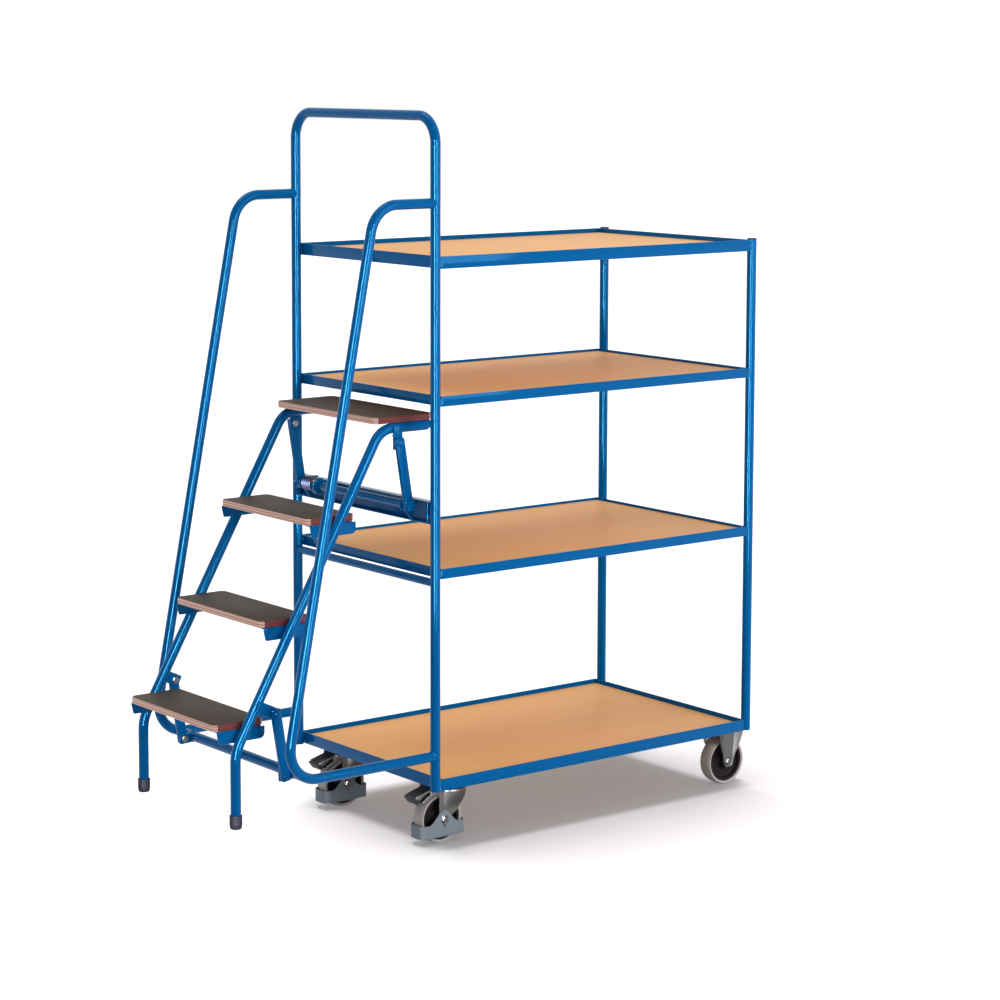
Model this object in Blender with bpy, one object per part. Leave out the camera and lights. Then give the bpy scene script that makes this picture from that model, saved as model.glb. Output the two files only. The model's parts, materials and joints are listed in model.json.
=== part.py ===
"""Order picking trolley: a four shelf rack with a sprung ladder on parallel links.

Metres, Z up.  X runs from the ladder end to the rear end.  Sizes named REACH or
that end in X are measured along X from the axis of the posts at the ladder end.
The floor is Z = 0, and right is the side at -Y.
"""
import math

import bmesh
import bpy
from mathutils import Vector

# Clearances
FIT = 0.0003                    # between pieces that are welded, bolted or laid together
RUN = 0.0005                    # around a turning pivot, on the radius
SIDE_RUN = 0.001                # beside a moving plate
OVERRUN = 0.002                 # how far a cutter passes through what it cuts
WELD = 0.0015                   # how deep a welded piece reaches into what carries it
MERGE = 0.000001                # distance below which points are one

# Round tube
TUBE = 0.025
TUBE_WALL = 0.002
STAY_TUBE = 0.020

# Shelf frames of angle steel, each with a board laid in it
FRAME_LENGTH = 1.010
FRAME_WIDTH = 0.610
FRAME_WALL = 0.003
FRAME_LEG = 0.030
DEEP_RIM = 0.030
SLIM_RIM = 0.025
LOW_BAY = 0.525                 # between the undersides of the lowest and the low frame
HIGH_SHELF_RAISE = 0.0555       # underside of the high shelf's frame above the ladder's top run
TOP_BAY = 0.3315                # from there to the underside of the top shelf's frame
EDGE_BREAK = 0.0007
BOARD = 0.015
BOARD_PLAY = 0.001
CASTOR_RAIL = 0.030

# Posts and push handle
POST_INSET = 0.010
HANDLE_RAISE = 0.3765           # top of the handle above the top frame's underside
HANDLE_BEND = 0.066
PLUG_DEPTH = 0.018
PLUG_EDGE = 0.0012
PLUG_RISE = 0.003

# Handrails beside the ladder
RAIL_TOP_RAISE = 0.157          # axis of the top run above the top frame's underside
RAIL_TOP_REACH = 0.177
RAIL_FOOT_HEIGHT = 0.245
RAIL_FOOT_REACH = 0.441
RAIL_BEND = 0.076
RAIL_TIE_INSET = 0.0726         # from the corner of the handrail's lower bend to the tie

# Ladder
LADDER_INSET = 0.087            # between the axes of a post and of the stringer beside it
LADDER_SLOPE = math.radians(60)
LADDER_TOP_RAISE = 0.1885       # top run above the lift shaft, axis to axis
LADDER_TOP_REACH = 0.100
LADDER_TOP_BEND = 0.062
LADDER_TOP_RUN = 0.045
LEG_DROP = 0.0673               # corner of the leg below the top of the first tread
LEG_BEND = 0.100
FOOT_RAISED = 0.1335
FOOT = 0.0305
FOOT_HEIGHT = 0.033
FOOT_SOLE = 0.006
FOOT_EDGE = 0.002
TREAD = 0.016
TREAD_RISE = 0.2308
TREAD_DEPTH = 0.140
TREAD_LEAD = 0.016
TREAD_END_GAP = 0.0045
TREAD_CLIP = 0.010
TOP_TREAD_DEPTH = 0.182
TOP_TREAD_BACK = 0.062
TOP_TREAD_OVERHANG = 0.005      # past the axis of each stringer
CHEEK = 0.0036
CHEEK_DROP = 0.029
CHEEK_CORNER = 0.012
LEDGE = 0.0035
LEDGE_WIDTH = 0.030

# Parallel links that carry the ladder
LINK_LENGTH = 0.156
LINK_LEAN = math.radians(9.5)
LINK_WIDTH = 0.025
LINK = 0.010
UPPER_PIVOT_REACH = 0.033
LIFT_RAISE = 0.1765             # axis of the lift shaft above the low frame's underside
LOWER_PIVOT_INSET = 0.045       # from the corner of the handrail's lower bend
LOWER_PIVOT_HEIGHT = 0.245
PIVOT_BOLT = 0.010
BOLT_HEAD = 0.0185
BOLT_HEAD_HEIGHT = 0.006
LUG = 0.005
LUG_NOSE = 0.0165
LUG_SEAT = 0.010
BRACKET_NOSE = 0.0145
BRACKET_RAISE = 0.020
TIE_LUG_EYE = 0.018

# Cross channel, lift shaft and torsion spring between the posts
CHANNEL_DEPTH = 0.026
CHANNEL_HEIGHT = 0.054
CHANNEL_WALL = 0.003
SHAFT = 0.020
SHAFT_STUB = 0.014
SHAFT_NUT = 0.024
SHAFT_NUT_HEIGHT = 0.008
COLLAR = 0.040
COLLAR_WIDTH = 0.010
COLLAR_INSET = 0.068            # from the left bearing to the far face of the collar
COLLAR_BOLT = 0.014
COLLAR_BOLT_HEIGHT = 0.005
SPRING_WIRE = 0.0045
SPRING_COIL = 0.030
SPRING_PITCH = 0.0056
SPRING_TURNS = 7
SPRING_LEG = 0.036
SPRING_FOOT = 0.011

# Wheels, alike on all four castors
WHEEL = 0.125
TYRE = 0.011
TYRE_WIDTH = 0.037
TREAD_FLAT = 0.016
CORE_WIDTH = 0.033
CORE_RIM = 0.007
CORE_WEB = 0.008
HUB = 0.034
HUB_WIDTH = 0.044
AXLE = 0.012
AXLE_HEAD = 0.021
AXLE_HEAD_HEIGHT = 0.007

# Castor forks and plates
FORK_GAP = 0.046
FORK_WALL = 0.003
PLATE_LENGTH = 0.105
PLATE_WIDTH = 0.085
PLATE = 0.004
PLATE_CORNER = 0.009
BOSS = 0.028

# Swivel castors with total lock
KINGPIN_X = 0.108
SWIVEL_INSET = 0.087
TRAIL = 0.036
RACE = 0.056
RACE_HEIGHT = 0.0095
DISH = 0.084
DISH_TOP = 0.070
DISH_HEIGHT = 0.014
KINGPIN = 0.016
KINGPIN_NUT = 0.024
KINGPIN_NUT_HEIGHT = 0.007
WHEEL_CLEAR = 0.0147            # above the wheel, to the fork
ARCH_CLEAR = 0.009              # between the wheel and the outside of the arch
ARCH_BAND = 0.0105
ARCH_SHIFT = 0.014
ARCH_SHEET = 0.0025
PEDAL_BACK = 0.030
PEDAL_DROP = 0.0012             # pedal's axis below the middle of the dish's sheet
PEDAL_EYE = 0.0065
PEDAL_PIN = 0.006
PEDAL_WIDTH = 0.0446
EAR = 0.008
EAR_START = math.radians(20)
EAR_END = math.radians(170)
ARCH_BACK = math.radians(136)
ARCH_SHEET_BACK = math.radians(135)
ARCH_TOP = math.radians(112)
ARCH_ROOT = math.radians(96)
ARCH_FRONT = math.radians(76)
GUARD_END_CLEAR = 0.0215        # beyond the wheel at each end
GUARD_WALL = 0.003
GUARD_CORNER = 0.013
GUARD_SHIFT = 0.004
GUARD_BAND_TOP = 0.008
GUARD_BAND_BASE = 0.032
GUARD_CROWN = 0.037
GUARD_CROWN_SPAN = 0.062
GUARD_SAG = 0.012
GUARD_LIFT = 0.006

# Fixed castors
FIXED_AXLE_INSET = 0.0048       # inside the rear end of the frames
FIXED_INSET = 0.072

# Shares of the wheel's radius: the fork's leg from its boss up to the dish
LEG_FLANK_SHARES = ((0.67, 0.26), (1.12, 1.0), (1.10, 1.20))
LEG_EDGE_SHARE = -0.21
# Shares of the wheel's radius: underside and tip of the pedal, from the tip back
PEDAL_SHARES = (
    (-0.52, 1.275), (-1.59, 1.02), (-1.60, 0.965), (-1.29, 0.735),
    (-1.175, 0.80), (-0.965, 0.99), (-0.80, 1.09), (-0.64, 1.16),
)
# Fixed leg: shares of its rise above the axle, then half web, wing along and wing out
# as shares of the wheel's diameter
FIXED_LEG_SHARES = (
    (1.0, 0.208, 0.144, 0.080), (0.57, 0.170, 0.096, 0.054), (0.22, 0.124, 0.040, 0.024),
    (0.0, 0.116, 0.020, 0.012), (-0.1, 0.090, 0.012, 0.008), (-0.156, 0.046, 0.008, 0.004),
)
# Shares of the tread's depth and the cheek's drop: outline of the cheek under a tread
CHEEK_SHARES = ((0.5, 0.0), (0.5, -0.28), (0.16, -1.0), (-0.24, -1.0), (-0.5, -0.24), (-0.5, 0.0))

# Counts of facets
TUBE_RINGS = 4                  # bevel resolution of a tube, twelve sides
BEND_STEPS = 6
TURN_SIDES = 12
BOLT_SIDES = 12
SHAFT_SIDES = 18
WHEEL_SIDES = 24
DISH_SIDES = 20
ROUND_STEPS = 6
HOLE_STEPS = 10
CORNER_STEPS = 2
COIL_STEPS = 8
CROWN_STEPS = 10
SMOOTH_ANGLE = math.radians(32)
FULL_TURN = math.radians(360)
QUARTER = math.radians(90)

# Places that follow from the sizes above
TUBE_R = TUBE / 2
WHEEL_R = WHEEL / 2
FORK_TOP = WHEEL + WHEEL_CLEAR + FORK_WALL
DECK_HEIGHT = FORK_TOP + RUN + RACE_HEIGHT + PLATE + FIT
FORK_RISE = FORK_TOP - FORK_WALL / 2 - WHEEL_R
FIXED_LEG_RISE = DECK_HEIGHT - FIT - PLATE / 2 - WHEEL_R
PEDAL_RAISE = FORK_RISE - PEDAL_DROP
ARCH = WHEEL_R + ARCH_CLEAR
GUARD_LENGTH = WHEEL + GUARD_END_CLEAR * 2
POST_Y = FRAME_WIDTH / 2 - POST_INSET
FRAME_START_X = TUBE_R + FIT
FRAME_END_X = FRAME_START_X + FRAME_LENGTH
REAR_POST_X = FRAME_END_X + FRAME_START_X
FIXED_AXLE_X = FRAME_END_X - FIXED_AXLE_INSET
LOW_SHELF_HEIGHT = DECK_HEIGHT + LOW_BAY
UPPER_PIVOT_HEIGHT = LOW_SHELF_HEIGHT + LIFT_RAISE
LADDER_TOP_HEIGHT = UPPER_PIVOT_HEIGHT + LADDER_TOP_RAISE
HIGH_SHELF_HEIGHT = LADDER_TOP_HEIGHT + HIGH_SHELF_RAISE
TOP_SHELF_HEIGHT = HIGH_SHELF_HEIGHT + TOP_BAY
HANDLE_HEIGHT = TOP_SHELF_HEIGHT + HANDLE_RAISE
RAIL_TOP_HEIGHT = TOP_SHELF_HEIGHT + RAIL_TOP_RAISE
RAIL_TIE_REACH = RAIL_FOOT_REACH - RAIL_TIE_INSET
LOWER_PIVOT_REACH = RAIL_FOOT_REACH - LOWER_PIVOT_INSET
SPAN_HALF = POST_Y - TUBE_R - FIT
STRINGER_Y = POST_Y - LADDER_INSET
LUG_Y = STRINGER_Y + TUBE_R - WELD
LINK_Y = LUG_Y + LUG + SIDE_RUN
LINK_FACE_Y = LINK_Y + LINK
COLLAR_PLACE = LUG_Y - LUG - COLLAR_INSET
LADDER_TOP_TREAD = LADDER_TOP_HEIGHT + TUBE_R + FIT + TREAD
LINK_RISE = LINK_LENGTH * math.cos(LINK_LEAN)
LINK_OUT = LINK_LENGTH * math.sin(LINK_LEAN)
LADDER_PIVOT = Vector((-UPPER_PIVOT_REACH - LINK_OUT, 0, UPPER_PIVOT_HEIGHT + LINK_RISE))
BRACKET_PIVOT = Vector((-LOWER_PIVOT_REACH - LINK_OUT, 0, LOWER_PIVOT_HEIGHT + LINK_RISE))
FORK_FACE = FORK_GAP / 2 + FORK_WALL
GUARD_FACE = FORK_FACE + FIT + GUARD_WALL
SHELVES = (
    (DECK_HEIGHT, DEEP_RIM),
    (LOW_SHELF_HEIGHT, SLIM_RIM),
    (HIGH_SHELF_HEIGHT, SLIM_RIM),
    (TOP_SHELF_HEIGHT, DEEP_RIM),
)
SIDES = (("right", -1), ("left", 1))


def slope_reach(height):
    """Distance of the stringers' axis from the post axis at a height on the slope."""
    return LADDER_TOP_REACH + (LADDER_TOP_HEIGHT - height) / math.tan(LADDER_SLOPE)


def tread_top(number):
    """Height of the top of tread 1 to 4, counted from the floor."""
    return LADDER_TOP_TREAD - (4 - number) * TREAD_RISE


def tread_middle_x(number):
    """X of the middle of one of the three treads between the stringers."""
    return -slope_reach(tread_top(number)) - TREAD_LEAD


LEG_CORNER_HEIGHT = tread_top(1) - LEG_DROP
LEG_REACH = slope_reach(LEG_CORNER_HEIGHT)
FRONT_X = tread_middle_x(1) - TREAD_DEPTH / 2
BACK_X = FIXED_AXLE_X + WHEEL_R
CENTRE_X = (FRONT_X + BACK_X) / 2


# Materials

def linear(value):
    """One sRGB channel from 0 to 1 as linear light."""
    if value <= 0.04045:
        return value / 12.92
    return ((value + 0.055) / 1.055) ** 2.4


def material(name, colour, roughness, metallic):
    """Principled material of a colour written as a hex string."""
    result = bpy.data.materials.new(name)
    result.use_nodes = True
    shader = result.node_tree.nodes["Principled BSDF"]
    channels = [linear(int(colour[at:at + 2], 16) / 255) for at in (0, 2, 4)]
    shader.inputs["Base Color"].default_value = (*channels, 1)
    shader.inputs["Roughness"].default_value = roughness
    shader.inputs["Metallic"].default_value = metallic
    result.diffuse_color = (*channels, 1)
    return result


def make_materials():
    """All finishes of the trolley by short name."""
    return {
        "paint": material("blue_paint", "0A5CA8", 0.35, 0),
        "beech": material("beech_board", "C99A6B", 0.5, 0),
        "film": material("brown_film_ply", "6A5A50", 0.6, 0),
        "cap": material("black_cap", "1B1B1D", 0.45, 0),
        "rubber": material("black_rubber", "242426", 0.75, 0),
        "tyre": material("grey_rubber", "7E7B78", 0.65, 0),
        "core": material("dark_core", "2B2329", 0.5, 0),
        "zinc": material("zinc_steel", "A9A9AB", 0.28, 1),
        "spring": material("spring_steel", "4A4E60", 0.35, 1),
        "guard": material("grey_plastic", "858F98", 0.45, 0),
        "pedal": material("black_pedal", "2A282B", 0.5, 0),
    }


# Outlines in a plane

def arc(centre, radius, start, end, steps):
    """Points of an arc about a centre from one angle to another."""
    points = []
    for step in range(steps + 1):
        angle = start + (end - start) * step / steps
        points.append(Vector((centre[0] + radius * math.cos(angle), centre[1] + radius * math.sin(angle))))
    return points


def round_hole(centre, radius, steps=HOLE_STEPS):
    """Points of a round hole whose flats lie on a radius."""
    return arc(centre, radius / math.cos(FULL_TURN / 2 / steps), 0, FULL_TURN, steps)[:-1]


def arc_corner(before, corner, after, radius, steps):
    """Points that round the corner between two straight runs."""
    inward = (before - corner).normalized()
    outward = (after - corner).normalized()
    half = inward.angle(outward) / 2
    reach = radius / math.tan(half)
    centre = corner + (inward + outward).normalized() * (radius / math.sin(half))
    start = corner + inward * reach - centre
    end = corner + outward * reach - centre
    turn = start.angle(end)
    points = []
    for step in range(steps + 1):
        share = step / steps
        blend = start * math.sin((1 - share) * turn) + end * math.sin(share * turn)
        points.append(centre + blend / math.sin(turn))
    return points


def rounded(corners, radius, steps=CORNER_STEPS):
    """Closed outline whose corners are all turned on one radius."""
    points = []
    count = len(corners)
    for index in range(count):
        before = Vector(corners[index - 1])
        after = Vector(corners[(index + 1) % count])
        points += arc_corner(before, Vector(corners[index]), after, radius, steps)
    return points


def rectangle(length, width):
    """Corners of a rectangle about the origin."""
    x, y = length / 2, width / 2
    return [(-x, -y), (x, -y), (x, y), (-x, y)]


def clipped_rectangle(length, width, clip):
    """Rectangle about the origin with its corners cut off."""
    x, y = length / 2, width / 2
    return [
        (-x + clip, -y), (x - clip, -y), (x, -y + clip), (x, y - clip),
        (x - clip, y), (-x + clip, y), (-x, y - clip), (-x, -y + clip),
    ]


def twin_round(first, first_radius, second, second_radius, steps=ROUND_STEPS):
    """Outline drawn tight around two circles."""
    first, second = Vector(first), Vector(second)
    run = second - first
    heading = math.atan2(run.y, run.x)
    spread = math.acos((first_radius - second_radius) / run.length)
    points = arc(first, first_radius, heading + spread, heading + FULL_TURN - spread, steps)
    return points + arc(second, second_radius, heading - spread, heading + spread, steps)


def scaled(shares, size):
    """Points given as shares of one size."""
    return [Vector((x * size, z * size)) for x, z in shares]


# Solids in a bmesh

def upright(point, depth):
    """Place a point of an upright outline, X and Z, at a depth along Y."""
    return Vector((point[0], depth, point[1]))


def level(point, depth):
    """Place a point of a level outline, X and Y, at a height along Z."""
    return Vector((point[0], point[1], depth))


def add_plate(bm, outline, start, end, place=upright, holes=()):
    """Extrude an outline with holes from one depth to another."""
    edges = []
    for loop in (outline, *holes):
        verts = [bm.verts.new(place(point, start)) for point in loop]
        edges += [bm.edges.new((verts[index - 1], verts[index])) for index in range(len(verts))]
    filled = bmesh.ops.triangle_fill(bm, use_beauty=True, edges=edges)["geom"]
    faces = [item for item in filled if isinstance(item, bmesh.types.BMFace)]
    extruded = bmesh.ops.extrude_face_region(bm, geom=faces)["geom"]
    moved = [item for item in extruded if isinstance(item, bmesh.types.BMVert)]
    shift = place((0, 0), end) - place((0, 0), start)
    bmesh.ops.translate(bm, verts=moved, vec=shift)


def add_turned(bm, profile, sides, axis="Z", centre=(0, 0, 0)):
    """Spin a profile of radius and height about an axis.

    A profile that starts and ends on the axis is open, any other is closed.
    """
    centre = Vector(centre)
    along = Vector((0, 0, 1)) if axis == "Z" else Vector((0, 1, 0))
    out = Vector((1, 0, 0))
    verts = [bm.verts.new(centre + out * radius + along * height) for radius, height in profile]
    edges = [bm.edges.new(pair) for pair in zip(verts, verts[1:])]
    if profile[0][0] > 0:
        edges.append(bm.edges.new((verts[-1], verts[0])))
    known = set(bm.verts) - set(verts)
    bmesh.ops.spin(
        bm, geom=verts + edges, cent=centre, axis=along, angle=FULL_TURN, steps=sides, use_merge=True
    )
    fresh = [vert for vert in bm.verts if vert not in known]
    bmesh.ops.remove_doubles(bm, verts=fresh, dist=MERGE)


def hexagon_radius(across, angle):
    """Distance from the centre to the edge of a hexagon in one direction."""
    sixth = FULL_TURN / 6
    return across / 2 / math.cos(angle % sixth - sixth / 2)


def add_bolt(bm, stations, sides, centre, axis="Y"):
    """Stack of round and hexagonal steps along an axis as one body.

    A station is its place along the axis, its size across and whether it is a hexagon.
    """
    centre = Vector(centre)
    rings = []
    for place, across, is_hexagon in stations:
        ring = []
        for side in range(sides):
            angle = FULL_TURN * side / sides
            radius = hexagon_radius(across, angle) if is_hexagon else across / 2
            first, second = radius * math.cos(angle), radius * math.sin(angle)
            offset = Vector((first, place, second)) if axis == "Y" else Vector((place, first, second))
            ring.append(bm.verts.new(centre + offset))
        rings.append(ring)
    for lower, upper in zip(rings, rings[1:]):
        for side in range(sides):
            bm.faces.new((lower[side - 1], lower[side], upper[side], upper[side - 1]))
    bm.faces.new(rings[0])
    bm.faces.new(rings[-1])


def headed_bolt(inner, outer, side):
    """Stations of a pivot bolt with a nut inside and a head outside, on one side."""
    places = (
        (inner - BOLT_HEAD_HEIGHT, BOLT_HEAD, True),
        (inner, BOLT_HEAD, True),
        (inner, PIVOT_BOLT, False),
        (outer, PIVOT_BOLT, False),
        (outer, BOLT_HEAD, True),
        (outer + BOLT_HEAD_HEIGHT, BOLT_HEAD, True),
    )
    return [(place * side, across, is_hexagon) for place, across, is_hexagon in places]


def add_loft(bm, sections, closed=False):
    """Skin a row of equal sections, with end faces unless the row is closed."""
    rings = [[bm.verts.new(point) for point in section] for section in sections]
    pairs = list(zip(rings, rings[1:]))
    if closed:
        pairs.append((rings[-1], rings[0]))
    for lower, upper in pairs:
        for index in range(len(lower)):
            bm.faces.new((lower[index - 1], lower[index], upper[index], upper[index - 1]))
    if not closed:
        bm.faces.new(rings[0])
        bm.faces.new(rings[-1])


# Objects

def add_object(bm, name, finish, parent, at=(0, 0, 0)):
    """Turn a bmesh into a named object with one finish under its parent."""
    bmesh.ops.recalc_face_normals(bm, faces=bm.faces)
    mesh = bpy.data.meshes.new(name)
    bm.to_mesh(mesh)
    bm.free()
    return place_mesh(mesh, name, finish, parent, at)


def place_mesh(mesh, name, finish, parent, at=(0, 0, 0)):
    """Put a mesh in the scene, smooth but for its sharp edges."""
    mesh.shade_smooth()
    mesh.set_sharp_from_angle(angle=SMOOTH_ANGLE)
    result = bpy.data.objects.new(name, mesh)
    mesh.materials.append(finish)
    bpy.context.collection.objects.link(result)
    result.parent = parent
    result.location = at
    return result


def add_axis(name, parent, at):
    """Empty that marks a joint axis or an origin."""
    result = bpy.data.objects.new(name, None)
    bpy.context.collection.objects.link(result)
    result.parent = parent
    result.location = at
    return result


def combine(target, other, operation):
    """Apply a Boolean of another object to the target and remove the other."""
    modifier = target.modifiers.new(operation.lower(), "BOOLEAN")
    modifier.operation = operation
    modifier.solver = "EXACT"
    modifier.object = other
    bpy.context.view_layer.update()
    graph = bpy.context.evaluated_depsgraph_get()
    mesh = bpy.data.meshes.new_from_object(target.evaluated_get(graph))
    old = target.data
    target.modifiers.clear()
    target.data = mesh
    mesh.name = target.name
    bpy.data.meshes.remove(old)
    bpy.data.objects.remove(other)
    mesh.shade_smooth()
    mesh.set_sharp_from_angle(angle=SMOOTH_ANGLE)


def break_edges(target):
    """Small bevel along the sharp edges of a plate or a section."""
    modifier = target.modifiers.new("edge_break", "BEVEL")
    modifier.width = EDGE_BREAK
    modifier.segments = 1
    modifier.limit_method = "ANGLE"


def bent(corners, radii, steps=BEND_STEPS):
    """Path through corners with a bend of its own radius at each inner one."""
    corners = [Vector(corner) for corner in corners]
    points = [corners[0]]
    for index in range(1, len(corners) - 1):
        points += arc_corner(*corners[index - 1:index + 2], radii[index - 1], steps)
    points.append(corners[-1])
    return points


def add_tube(name, points, radius, finish, parent, at=(0, 0, 0), rings=TUBE_RINGS):
    """Round bar along a path as a bevelled curve turned into a mesh."""
    curve = bpy.data.curves.new(name, "CURVE")
    curve.dimensions = "3D"
    curve.bevel_depth = radius
    curve.bevel_resolution = rings
    curve.use_fill_caps = True
    spline = curve.splines.new("POLY")
    spline.points.add(len(points) - 1)
    for target, point in zip(spline.points, points):
        target.co = (*point, 1)
    guide = bpy.data.objects.new(name, curve)
    mesh = bpy.data.meshes.new_from_object(guide)
    mesh.name = name
    bpy.data.objects.remove(guide)
    bpy.data.curves.remove(curve)
    return place_mesh(mesh, name, finish, parent, at)


def weld_lug(carrier, pivot, nose, root, root_radius, side, parent, at=(0, 0, 0)):
    """Join a lug plate with its pivot stud to the tube that carries it."""
    finish = carrier.data.materials[0]
    bm = bmesh.new()
    outline = twin_round(pivot, nose, root, root_radius)
    add_plate(bm, outline, side * LUG_Y, side * (LUG_Y + LUG))
    combine(carrier, add_object(bm, "lug", finish, parent, at), "UNION")
    bm = bmesh.new()
    stations = headed_bolt(LUG_Y + WELD, LINK_FACE_Y + SIDE_RUN, side)
    add_bolt(bm, stations, BOLT_SIDES, upright(pivot, 0))
    combine(carrier, add_object(bm, "stud", finish, parent, at), "UNION")


# Rack

def shelf_frame(number, height, rim, finish, parent):
    """Rectangle of angle steel, its level leg inward and at the bottom."""
    section = (
        (0, 0), (FRAME_LEG, 0), (FRAME_LEG, FRAME_WALL),
        (FRAME_WALL, FRAME_WALL), (FRAME_WALL, rim), (0, rim),
    )
    corners = ((-1, -1), (1, -1), (1, 1), (-1, 1))
    sections = []
    for x, y in corners:
        sections.append([
            Vector((x * (FRAME_LENGTH / 2 - inset), y * (FRAME_WIDTH / 2 - inset), z))
            for inset, z in section
        ])
    bm = bmesh.new()
    add_loft(bm, sections, closed=True)
    at = (FRAME_START_X + FRAME_LENGTH / 2, 0, height)
    result = add_object(bm, f"shelf_frame_{number}", finish, parent, at)
    if number == 1:
        weld_castor_rails(result, finish, parent, at)
    break_edges(result)


def weld_castor_rails(frame, finish, parent, at):
    """Flats across the lowest frame, level with its legs, for the castor plates."""
    width = FRAME_WIDTH - FRAME_LEG * 2 + WELD * 2
    hole_half = PLATE_LENGTH / 2 - CASTOR_RAIL / 2
    for place in (KINGPIN_X - hole_half, KINGPIN_X + hole_half, FIXED_AXLE_X - hole_half):
        outline = [(x + place - at[0], y) for x, y in rectangle(CASTOR_RAIL, width)]
        bm = bmesh.new()
        add_plate(bm, outline, 0, FRAME_WALL, level)
        combine(frame, add_object(bm, "rail", finish, parent, at), "UNION")


def shelf_board(number, height, finish, parent):
    """Board laid on the legs of a shelf frame."""
    gap = FRAME_WALL + BOARD_PLAY
    outline = rectangle(FRAME_LENGTH - gap * 2, FRAME_WIDTH - gap * 2)
    bm = bmesh.new()
    add_plate(bm, outline, 0, BOARD, level)
    at = (FRAME_START_X + FRAME_LENGTH / 2, 0, height + FRAME_WALL + FIT)
    result = add_object(bm, f"shelf_board_{number}", finish, parent, at)
    break_edges(result)


def handle_frame(finish, parent):
    """Both posts at the ladder end and the push handle, bent from one tube."""
    top = HANDLE_HEIGHT - TUBE_R
    corners = (
        (0, -POST_Y, DECK_HEIGHT), (0, -POST_Y, top), (0, POST_Y, top), (0, POST_Y, DECK_HEIGHT),
    )
    add_tube("handle_frame", bent(corners, (HANDLE_BEND, HANDLE_BEND)), TUBE_R, finish, parent)


def rear_post(side_name, side, finish, cap_finish, parent):
    """Post at the rear end, bored at the top, and the plug that closes it."""
    height = TOP_SHELF_HEIGHT + DEEP_RIM - DECK_HEIGHT
    bore = TUBE_R - TUBE_WALL
    bm = bmesh.new()
    profile = (
        (0, 0), (TUBE_R, 0), (TUBE_R, height), (bore, height),
        (bore, height - PLUG_DEPTH), (0, height - PLUG_DEPTH),
    )
    add_turned(bm, profile, TURN_SIDES)
    at = (REAR_POST_X, side * POST_Y, DECK_HEIGHT)
    add_object(bm, f"rear_post_{side_name}", finish, parent, at)
    stem = bore - FIT
    edge = FIT + PLUG_EDGE
    crown = [(point.x, edge + point.y * (PLUG_RISE - PLUG_EDGE) / TUBE_R)
             for point in arc((0, 0), TUBE_R, 0, QUARTER, CORNER_STEPS)]
    crown[-1] = (0, crown[-1][1])
    bm = bmesh.new()
    add_turned(bm, [(0, FIT - PLUG_DEPTH), (stem, FIT - PLUG_DEPTH), (stem, FIT), (TUBE_R, FIT), *crown],
               TURN_SIDES)
    at = (REAR_POST_X, side * POST_Y, DECK_HEIGHT + height)
    add_object(bm, f"post_cap_{side_name}", cap_finish, parent, at)


def handrail(side_name, side, finish, parent):
    """Handrail tube from the post out, down beside the ladder and back to the post."""
    corners = (
        (-FRAME_START_X, 0, RAIL_TOP_HEIGHT), (-RAIL_TOP_REACH, 0, RAIL_TOP_HEIGHT),
        (-RAIL_FOOT_REACH, 0, RAIL_FOOT_HEIGHT), (-FRAME_START_X, 0, RAIL_FOOT_HEIGHT),
    )
    path = bent(corners, (RAIL_BEND, RAIL_BEND))
    add_tube(f"handrail_{side_name}", path, TUBE_R, finish, parent, (0, side * POST_Y, 0))


def rail_tie_height():
    """Height of the handrail's axis where the tie tube meets its lower bend."""
    turn = QUARTER + math.atan2(RAIL_FOOT_REACH - RAIL_TOP_REACH, RAIL_TOP_HEIGHT - RAIL_FOOT_HEIGHT)
    bend_start = RAIL_FOOT_REACH - RAIL_BEND * math.tan(turn / 2)
    past = min(max(RAIL_TIE_REACH - bend_start, 0), RAIL_BEND)
    return RAIL_FOOT_HEIGHT + RAIL_BEND - math.sqrt(RAIL_BEND ** 2 - past ** 2)


def rail_tie(finish, parent):
    """Tube between the handrails' lower bends with the lugs of the lower links."""
    eye = (-RAIL_TIE_REACH, rail_tie_height())
    bm = bmesh.new()
    profile = ((0, -SPAN_HALF), (TUBE_R, -SPAN_HALF), (TUBE_R, SPAN_HALF), (0, SPAN_HALF))
    add_turned(bm, profile, TURN_SIDES, "Y", upright(eye, 0))
    tie = add_object(bm, "rail_tie", finish, parent)
    for _, side in SIDES:
        weld_lug(tie, (-LOWER_PIVOT_REACH, LOWER_PIVOT_HEIGHT), LINK_WIDTH / 2, eye, TIE_LUG_EYE, side, parent)


def shelf_stay(finish, parent):
    """Thin tube between the ladder end posts just below the low shelf's frame."""
    bm = bmesh.new()
    radius = STAY_TUBE / 2
    profile = ((0, -SPAN_HALF), (radius, -SPAN_HALF), (radius, SPAN_HALF), (0, SPAN_HALF))
    add_turned(bm, profile, TURN_SIDES, "Y")
    add_object(bm, "shelf_stay", finish, parent, (0, 0, LOW_SHELF_HEIGHT - FIT - radius))


# Lift channel, shaft and spring

CHANNEL_TOP = UPPER_PIVOT_HEIGHT + SPRING_COIL / 2 - SPRING_WIRE / 2 - FIT
CHANNEL_FRONT_X = -CHANNEL_DEPTH / 2


def lift_channel(finish, parent):
    """Channel between the ladder end posts, open towards the ladder."""
    front, back = CHANNEL_FRONT_X, CHANNEL_DEPTH / 2
    top, base = CHANNEL_TOP, CHANNEL_TOP - CHANNEL_HEIGHT
    web = back - CHANNEL_WALL
    outline = [
        (front, base), (back, base), (back, top), (front, top), (front, top - CHANNEL_WALL),
        (web, top - CHANNEL_WALL), (web, base + CHANNEL_WALL), (front, base + CHANNEL_WALL),
    ]
    bm = bmesh.new()
    add_plate(bm, outline, -SPAN_HALF, SPAN_HALF)
    channel = add_object(bm, "lift_channel", finish, parent)
    weld_bearings(channel, finish, parent)


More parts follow.
